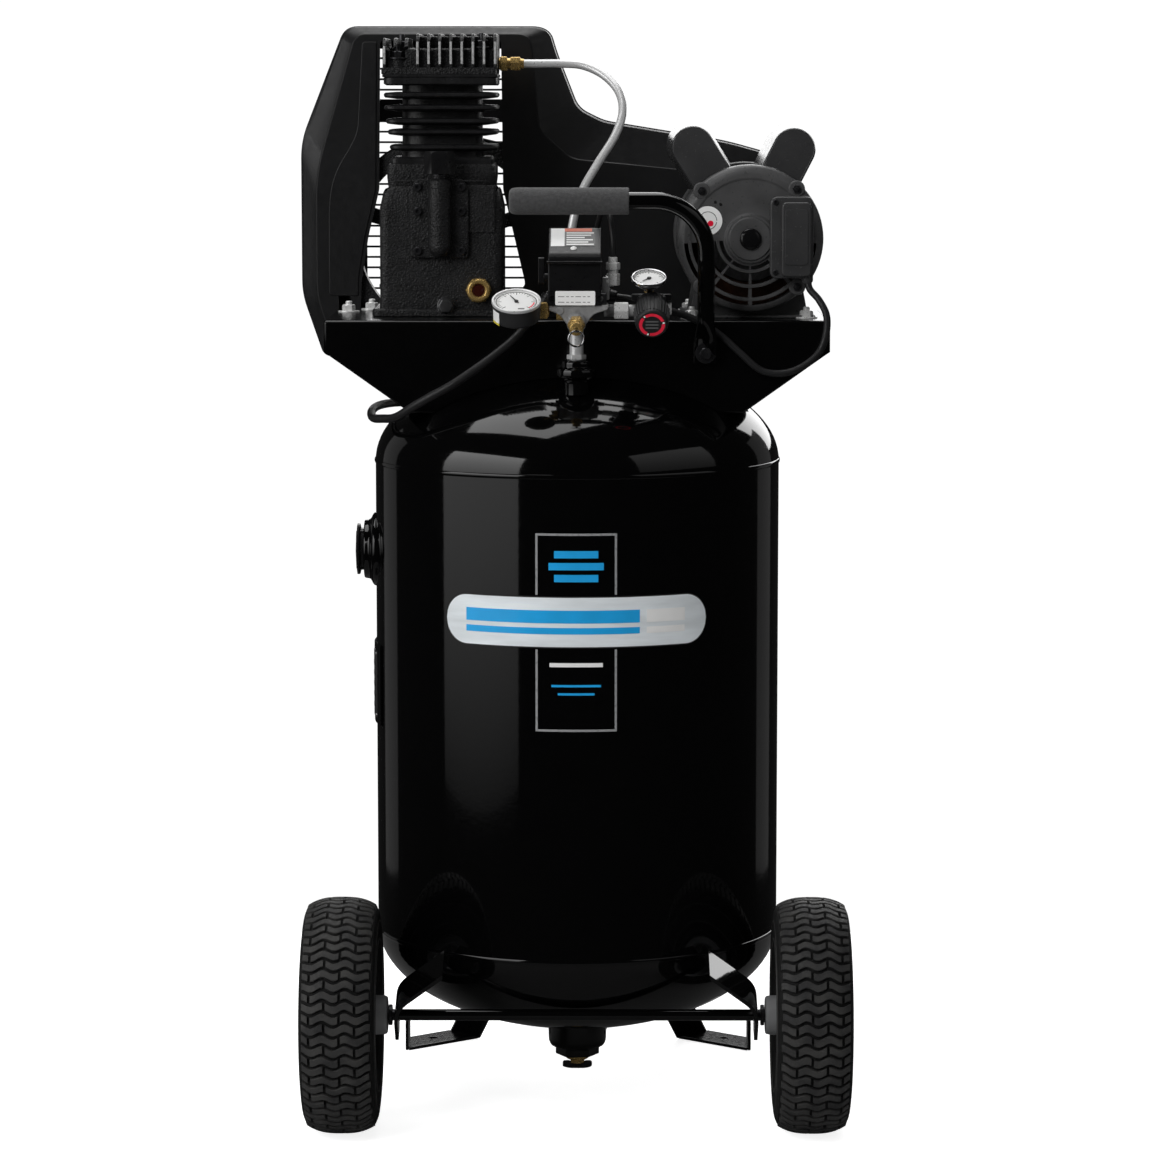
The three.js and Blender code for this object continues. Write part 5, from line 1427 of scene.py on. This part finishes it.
def make_front_guard():
    """The front moulding steps out from a flat face, open round the pump and for the motor's shaft."""
    front, split, wall = GUARD["front"], GUARD["split"], GUARD["wall"]
    rings = [guard_ring(0, front, GUARD_FACE), guard_ring(-1.6, front + 0.5, GUARD_FACE),
             guard_ring(-2.6, front + 2, GUARD_FACE), guard_ring(0, front + 9, between_lines(0.5)),
             guard_ring(0, front + 14.5, between_lines(0.85)), guard_ring(0, front + 17, between_lines(0.97)),
             guard_ring(0, front + 21), guard_ring(0, split - 0.2), guard_ring(wall, split - 0.2),
             guard_ring(wall, front + 22), guard_ring(-1, front + wall + 1, GUARD_FACE),
             guard_ring(1, front + wall, GUARD_FACE)]
    opening = rounded([(-229, 1200, 3), (-89, 1200, 3), (-87, 1029), (-62, 922), (-62, 880, 3),
                       (-254, 880, 3), (-252, 924), (-244, 974), (-231, 1029)], 2)
    notch = rounded([(-281, 934), (-278, 870), (-250, 870)], 3)
    cuts = [prism(line, "xz", front - 2, front + wall + 1.5) for line in (opening, notch)]
    motor_hole = rod((MOTOR["x"], front - 5, MOTOR["z"]), (MOTOR["x"], front + 6, MOTOR["z"]), 22, sides=48)
    drum = [(-233, 1199), (-250, 1199, 4), (-256, 1096, 10), (-265, 1077, 14), (-278, 1057, 14),
            (-287, 1034, 14), (-290, 1005, 14), (-290, 905, 5), (-256, 905), (-256, 924), (-248, 974),
            (-235, 1029)]
    form = Form("guard_black")
    form.put(carved(skin(rings), cuts[0], motor_hole, cuts[1]))
    form.put(prism(drum, "xz", front - 1.5, front + 0.5, 6), bevel=1.2, segments=4)
    form.put(swept(guard_ring(-0.2, split - 3), 1.3, 8, loop=True))
    form.stands_for("belt_guard_front", sharp=36)


def make_rear_guard():
    """The rear moulding has a grille of slots, with a plain bar across it."""
    split, rear, wall = GUARD["split"], GUARD["rear"], GUARD["wall"]
    edge = 9
    rings = [guard_ring(edge * 0.7, rear), guard_ring(2.8, rear - edge * 0.18),
             guard_ring(0.9, rear - edge * 0.5), guard_ring(0, rear - edge), guard_ring(0, split),
             guard_ring(wall, split), guard_ring(wall, rear - edge),
             guard_ring(edge * 0.7 + 1, rear - wall)]
    slot_high, pitch, first, bar_low, bar_high = 9.9, 12.3, 899, 1112, 1132
    lows = [first + pitch * i for i in range(24)]
    slots = [block((-250, -58), (rear - 6, rear + 6), (low, low + slot_high)) for low in lows
             if low + slot_high < bar_low or low > bar_high]
    form = Form("guard_black")
    form.put(carved(skin(rings), together(*slots)))
    form.put(swept(guard_ring(-0.2, split + 3), 1.3, 8, loop=True))
    for x, z in ((-262, 1180), (-50, 1190), (30, 1090), (200, 1060), (245, 860), (-285, 860)):
        form.put(screw((x, rear - 0.5, z), Y, 5, 3), "satin_black")
    form.stands_for("belt_guard_rear", sharp=36)


make_bell("motor_front_bell", MOTOR["front"], 1, True)
make_bell("motor_rear_bell", MOTOR["rear"], -1, False)
make_motor_shell()
make_capacitor("left", -32, 118)
make_capacitor("right", 27, 110)
make_terminal_cover()
make_drive()
make_front_guard()
make_rear_guard()

# ------------------------------------------------------------------ air line

def make_air_line():
    y, z = PUMP["y"], 1173
    route = [(-70, y, z), (-44, 24, z), (-18, 22, z), (6, 18, 1171), (30, 8, 1160), (47, -8, 1141),
             (51, -22, 1120), (43, -36, 1094), (23, -48, 1062), (5, -56, 1030), (-5, -60, 994),
             (-8, -60, 955), (-8, -60, 917)]
    form = Form("brass").put(swept(spline(route, 8), 4.75, 20), "bright_tube")
    form.stack((0, y, z), X, ("rod", -89.6, -84, 6.6, 0), ("hex", -87, -79, 16, 1), ("rod", -80, -74, 6.2, 0),
               ("hex", -75.5, -64, 15, 1))
    form.put(rod((-65, y, z), (-60, y, z), 6, 5.2, sides=32), bevel=0.4)
    form.stands_for("discharge_tube")

    x, y = -8, -60
    foot = (x, y, 0)
    form = Form("brass")
    crown = turned([(0, 850), (14.2, 850), (15.2, 852), (15.2, 897), (13, 900.1), (0, 900.1)], foot)
    form.put(carved(hexagon((x, y, 850.5), (x, y, 900), 26), crown, operation="INTERSECT"))
    form.stack(foot, Z, ("rod", 832, 852, 8.3, 0), ("rod", 899, 905, 9.5, 0.6), ("hex", 904, 916, 15, 0.9))
    form.put(rod((x, y, 915.5), (x, y, 919), 6.6, 5.4, sides=32))
    form.stack((x, y, 896), X, ("rod", 0, 24.5, 4.5, 0.6, 24), ("hex", 12, 17, 10.5, 0.5))
    form.stack((x + 20, y, 896), Z, ("rod", 0, 10, 4.3, 0.5, 24))
    form.stands_for("check_valve")

    for node, radius, route in (
            ("unloader_tube", 3, [
                (40, -140, 962.3), (40, -140, 980), (38, -136, 999), (34, -121, 1014), (28, -101, 1011),
                (22, -85, 990), (17, -72, 955), (13, -62, 925), (12, -60, 906.4)]),
            ("motor_cable", 3.95, [
                (255, -103, 935.6), (257, -105, 926), (267, -112, 914), (275, -119, 898), (275, -122, 878),
                (268, -124, 858), (252, -125, 843), (230, -124, 834), (205, -123, 836), (180, -121, 856),
                (160, -118.6, 874), (142, -118.2, 886), (122, -118.4, 896), (100, -118, 903), (75, -116, 911),
                (58, -114, 915), (44.5, -113, 916.9)])):
        Form("cord_black").put(swept(spline(route, 8), radius)).stands_for(node)


# ------------------------------------------------------------------ manifold, safety valve

def make_manifold():
    y, bore_z = -150, 904
    middle = (0, y, bore_z)
    wings = [(-30.5, 911.5, 2), (35, 911.5, 2), (35, 906, 3), (18, 901, 6), (9.5, 888, 5), (-9.5, 888, 5),
             (-18, 901, 6), (-30.5, 905, 3)]
    form = Form("cast_alloy").put(prism(wings, "xz", y - 22, y + 22, 5), None, 1.6, 3, 40)
    form.stack((0, y, 0), Z, ("rod", 828, 888, 7.6, 0, 40), ("hex", 850.5, 856, 19, 1), finish="bright_tube")
    form.put(turned([(0, 0), (10.5, 0), (10.5, 9, 1), (9, 10.5, 1), (0, 10.5)], (0, y - 19.5, 893),
                    (0, -0.97, -0.22), 32, 2))
    form.stack(middle, (-1, 0, 0), ("rod", 30, 40, 7, 0.8), finish="brass")
    form.stack(middle, X, ("rod", 30, 66, 6.6, 0.5))
    for i in range(8):
        form.put(turned([(6.4, 0), (7.2, 0.5), (6.4, 1.0)], (33 + i, y, bore_z), X, 24), "machined")
    form.stack(middle, X, ("hex", 41, 57, 18, 1.2), finish="zinc")
    form.stack((-18, y - 21, 905), FRONT, ("rod", 0, 2.4, 4.4, 0.7, 24))
    form.stands_for("manifold")

    down, start = (0, -0.97, -0.24), (0, y - 32.9, 892)
    tip = along(start, down, 24)
    form = Form("brass").stack(start, down, ("rod", -2.4, 1, 7.4, 0), ("hex", 0, 11, 17, 1.2))
    form.put(turned([(0, 0), (8.2, 0), (8.2, 3, 1), (6.4, 5), (6.4, 9), (7.4, 10), (7.4, 12.6, 1), (5, 13.2),
                     (2.2, 13.2), (2.2, 4), (0, 4)], along(start, down, 10.6), down, 40, 2))
    form.stands_for("safety_valve_body")
    eye, radius = along(tip, down, 5), 8.3
    ring = [eye + Vector((radius * math.sin(a), 0, -radius - radius * math.cos(a)))
            for a in round_the_circle(48)]
    form = Form("chrome").stack(tip, down, ("rod", -8, 5.8, 1.8, 0.4, 20))
    form.put(swept(ring, 1.05, 12, loop=True)).stands_for("safety_ring")


# ------------------------------------------------------------------ pressure switch

def make_switch_base():
    form = Form("zinc").put(block((-33, 33), (-172, -100), (911.8, 924)), "dark_steel", 2, 3)
    relief = [(0, 0), (8.3, 0), (8.3, 4, 1)]
    form.put(turned([*relief, (7.4, 5), (7.4, 13), (6.6, 17.5, 1), (0, 17.5)], (-30, -118, 918),
                    (-11.2, -1, -14.2), 28, 2), "satin_black")
    form.put(turned([*relief, (7.2, 5), (6.6, 12, 1), (0, 12)], (32, -112, 919), (12, -1, -2), 28, 2),
             "satin_black")
    form.put(block((28, 36), (-146, -134), (915, 940)), "cast_alloy", 1.5)
    form.stack((0, -140, 936), X, ("rod", 32, 41, 6.2, 0.6))
    form.stack((40, -140, 0), Z, ("hex", 931, 944, 13.5, 1), ("rod", 943, 949, 5.6, 0),
               ("hex", 948, 956, 14, 1), ("rod", 955, 962, 4.9, 0.6))
    for x in (-26, 26):
        form.put(screw((x, -172, 918), FRONT, 3.2, 2), "machined")
    form.stands_for("pressure_switch_base")


def make_switch_cover():
    """A cover with a sloping lid, a lip over its front, and plain labels on both."""
    outline = [(-174, 924.3), (-98, 924.3), (-98, 991, 4), (-110, 993, 3), (-171, 968, 2.5), (-177, 962.5, 2),
               (-177, 958.5, 1.5), (-174, 956)]
    inner = [(-171, 920), (-101, 920), (-101, 986), (-110, 987), (-171, 958)]
    form = Form("satin_black")
    form.put(carved(soft(prism(outline, "yz", -31, 27, 4), 1.8, 3, 50), prism(inner, "yz", -28, 24),
                    block((-35, -25), (-152, -132), (935, 962))))
    form.put(swept([(-32, -178, 957.6), (-2, -178.2, 957.6), (28, -178, 957.6)], 1.5, 10))
    form.put(block((-31, 27), (-174, -172.3), (910.5, 925)), bevel=0.5)
    label = rounded([(-23, 911), (20.5, 911), (20.5, 926.5), (-23, 926.5)], 1.6)
    form.put(prism(label, "xz", -174.4, -173.9), "label_white")
    for left, width in ((-20, 7), (-11, 3), (-6, 3), (-1, 6), (7, 3), (12, 3)):
        for z in (914, 920):
            form.put(block((left, left + width), (-174.5, -174.2), (z, z + 0.7)), "label_grey")
    seat = spun(math.degrees(math.atan2(993 - 968, 61)), "X", (-2, -140.5, 980.55))
    marks = [((-26, -11), (-16, 30), (-0.1, 0.3), "label_white"),
             ((-11, 22), (-16, 22), (-0.1, 0.3), "label_grey"),
             ((-11, 19), (22, 30), (-0.1, 0.35), "ink_orange")]
    marks += [((-9, -9 + width), (-13.5 + 6 * i, -10.5 + 6 * i), (0.25, 0.45), "label_white")
              for i, width in enumerate((30, 24, 29, 20, 27, 30))]
    for *size, shade in marks:
        form.put(moved(block(*size), seat), shade)
    form.put(moved(turned([(0, 0), (3.6, 0), (3.4, 1.2), (2, 2.2), (0, 2.5)], (-1, -23, 0), Z, 32), seat),
             "label_white")
    form.stands_for("pressure_switch_cover")

    lever = [(-145.5, 932, 3), (-138.5, 932, 3), (-138.5, 962, 3), (-145.5, 962, 3)]
    form = Form("satin_black").stack((0, -142, 940), (-1, 0, 0), ("rod", 22, 36, 4.5, 0.5, 28))
    form.put(prism(lever, "yz", -42, -35, 4), bevel=1).stands_for("switch_lever")


# ------------------------------------------------------------------ gauges, regulator

def make_dial(form, seat, radius, ticks, zone=None):
    """A white face with ticks, every fifth one long, on an arc of 270 degrees."""
    face = [(0, -3.2), (radius - 2.4, -3.2), (radius - 2.4, -2.75), (0, -2.75)]
    form.put(moved(turned(face, sides=64), seat), "dial_white")
    for i in range(ticks + 1):
        angle = math.radians(225 - 270 * i / ticks)
        share, half = (0.2, 0.34) if i % 5 == 0 else (0.11, 0.2)
        out = Vector((math.cos(angle), math.sin(angle)))
        side = Vector((-out.y, out.x)) * half
        low, high = out * (radius * (0.8 - share)), out * (radius * 0.8)
        tick = prism([low - side, high - side, high + side, low + side], "xy", -2.8, -2.6)
        form.put(moved(tick, seat), "ink_black")
    form.put(moved(band((0, 0), radius * 0.8, radius * 0.83, -45, 225, -2.8, -2.6, "xy", 40), seat),
             "ink_black")
    if zone:
        form.put(moved(band((0, 0), radius * 0.69, radius * 0.74, *zone, -2.8, -2.58, "xy", 16), seat),
                 "ink_red")


def make_needle(node, seat, length, turn):
    place_on_dial = seat @ spun(turn, "Z")
    blade = [(-0.9, -length * 0.3), (0.9, -length * 0.3), (0.8, 0), (0.25, length), (-0.25, length),
             (-0.8, 0)]
    boss = turned([(0, -2.7), (2.2, -2.7), (2.2, -1.2), (1.6, -0.8), (0, -0.8)], sides=24)
    form = Form("ink_black").put(moved(prism(blade, "xy", -2.0, -1.5), place_on_dial))
    form.put(moved(boss, place_on_dial)).stands_for(node)


def make_tank_gauge():
    radius, depth = 27, 23
    seat = spun(GAUGE_LEAN, "X", (-65, -190, 918))
    form = Form("gauge_black")
    case = [(0, -depth), (radius - 2.4, -depth, 1.6), (radius - 0.9, -depth + 2.4, 1.6),
            (radius - 0.7, -3.4), (0, -3.4)]
    form.put(moved(turned(case, sides=96, steps=4), seat))
    bezel = [(radius - 2.6, -3.6), (radius, -3.6, 0.6), (radius, -0.8, 0.8), (radius - 0.8, 0, 0.7),
             (radius - 2.6, -0.5, 0.5)]
    form.put(moved(turned(bezel, sides=96, steps=4), seat), "bright_tube")
    make_dial(form, seat, radius, 30, (-45, -5))
    form.put(moved(block((2, 9), (-17, -14.5), (-2.85, -2.6)), seat), "label_grey")
    skin_low, skin_high = radius - 0.7, radius - 0.4
    for low, high, shade in ((-20, -7, "label_white"), (-22, -19.4, "ink_yellow")):
        patch = [(skin_low, low), (skin_high, low), (skin_high, high), (skin_low, high)]
        form.put(moved(turned(patch, sides=10, start=20, sweep=26), seat), shade)
    form.put(block((-44.5, -31.2), (-178, -158.5), (896.5, 914)), "brass", 1.6, 3)
    form.put(rod((-44, -168, 905), (-56, -178, 906), 6, sides=28), "brass", 0.8)
    form.stands_for("tank_gauge")
    make_needle("tank_gauge_needle", seat, 15, 28)


def make_regulator_gauge():
    radius, depth = 19.5, 11
    seat = spun(GAUGE_LEAN, "X", (79, -168, 942))
    form = Form("brass")
    case = [(0, -depth - 6), (5, -depth - 6, 1), (7, -depth - 2, 2), (13, -depth + 1, 3),
            (radius - 1, -5.5, 2), (radius, -4, 1), (radius, -0.8, 0.8), (radius - 0.9, 0, 0.6),
            (radius - 2.4, -0.6, 0.5), (radius - 2.4, -3.2), (0, -3.2)]
    form.put(moved(turned(case, sides=64, steps=4), seat), "chrome")
    make_dial(form, seat, radius, 20)
    form.put(rod(seat @ Vector((0, 0, -depth - 4)), (79, -158, 920.5), 4.6, sides=28))
    form.put(hexagon(seat @ Vector((0, 0, -depth - 5)), (79, -158.5, 925), 9.6), bevel=0.6)
    form.stands_for("regulator_gauge")
    make_needle("regulator_gauge_needle", seat, 10, 135)


def make_regulator():
    radius, length, dip = KNOB["radius"], KNOB["length"], math.radians(KNOB["dip"])
    out = Vector((0, -math.cos(dip), -math.sin(dip)))
    face = (KNOB["x"], KNOB["y"], KNOB["z"])
    back = along(face, out, -length)
    form = Form("satin_black")
    form.put(turned([(0, 0), (15, 0, 2), (17, 3, 1), (17, 11, 1), (18.2, 11.4), (18.2, 13.6), (4.5, 13.6),
                     (4.5, 4), (0, 4)], along(face, out, -length - 14), out))
    form.put(block((66.3, 99), (-162, -136), (892.3, 921)), bevel=4, segments=4)
    form.put(prism(box_outline((60, 104), (915, 922), 2, 4), "xz", -158, -136), bevel=1)
    form.put(turned([(0, 0), (9, 0), (9, 5), (7.4, 6), (7.4, 11), (0, 11)], (82, -137, 904), Y, 32), "zinc")
    form.stack((0, -149, 906), X, ("hex", 99, 104, 13, 0.8), finish="zinc")
    form.stands_for("regulator_body")

    form = Form("knob_black")
    form.put(turned([(0, 0), (radius - 1, 0, 1), (radius, 2, 1), (radius, 6), (radius - 1.6, length - 6, 1),
                     (radius - 2.6, length - 1.4, 1.2), (radius - 4, length, 1), (radius - 6.2, length - 0.6),
                     (0, length - 0.6)], back, out, 72, 4))
    up = out.cross(Vector(X))
    for a in round_the_circle(30):
        reach = Vector(X) * math.cos(a) + up * math.sin(a)
        form.put(rod(along(back, out, 4) + reach * (radius - 0.1),
                     along(back, out, length - 5) + reach * (radius - 1.9), 0.9, sides=8))
    seat = frame_at(along(face, out, -0.75), out)
    for low, high, first, last, steps, shade in ((0.54, 0.79, 20, 124, 20, "ink_red"),
                                                 (0.6, 0.75, 6, 14, 4, "label_white")):
        for turn in (0, 120, 240):
            mark = band((0, 0), radius * low, radius * high, turn + first, turn + last, 0, 0.35, "xy", steps)
            form.put(moved(mark, seat), shade)
    for z in (-4, 0, 4):
        form.put(moved(block((-7, 7), (z - 1, z + 0.6), (0, 0.3)), seat), "label_grey")
    form.stack(back, out, ("rod", -7, 1, 4, 0, 24))
    form.stands_for("regulator_knob")


make_air_line()
make_manifold()
make_switch_base()
make_switch_cover()
make_tank_gauge()
make_regulator_gauge()
make_regulator()

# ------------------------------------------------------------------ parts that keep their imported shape

for node, finish in (("motor_stator", "copper_wire"), ("rotor", "machined"), ("piston", "cast_alloy"),
                     ("connecting_rod", "cast_alloy"), ("crankshaft", "machined")):
    shown = frame["nodes"][node]
    shown.data.materials.clear()
    shown.data.materials.append(LOOKS[finish])
    edge = shown.modifiers.new("broken_edges", "BEVEL")
    edge.width = 0.8 * MM
    edge.segments = 2
    edge.limit_method = "ANGLE"
    edge.angle_limit = math.radians(40)

low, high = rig.bounds()
with open("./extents.json", "w") as file:
    json.dump({"cad": [list(corner) for corner in CAD_BOX], "final": [list(low), list(high)]}, file)
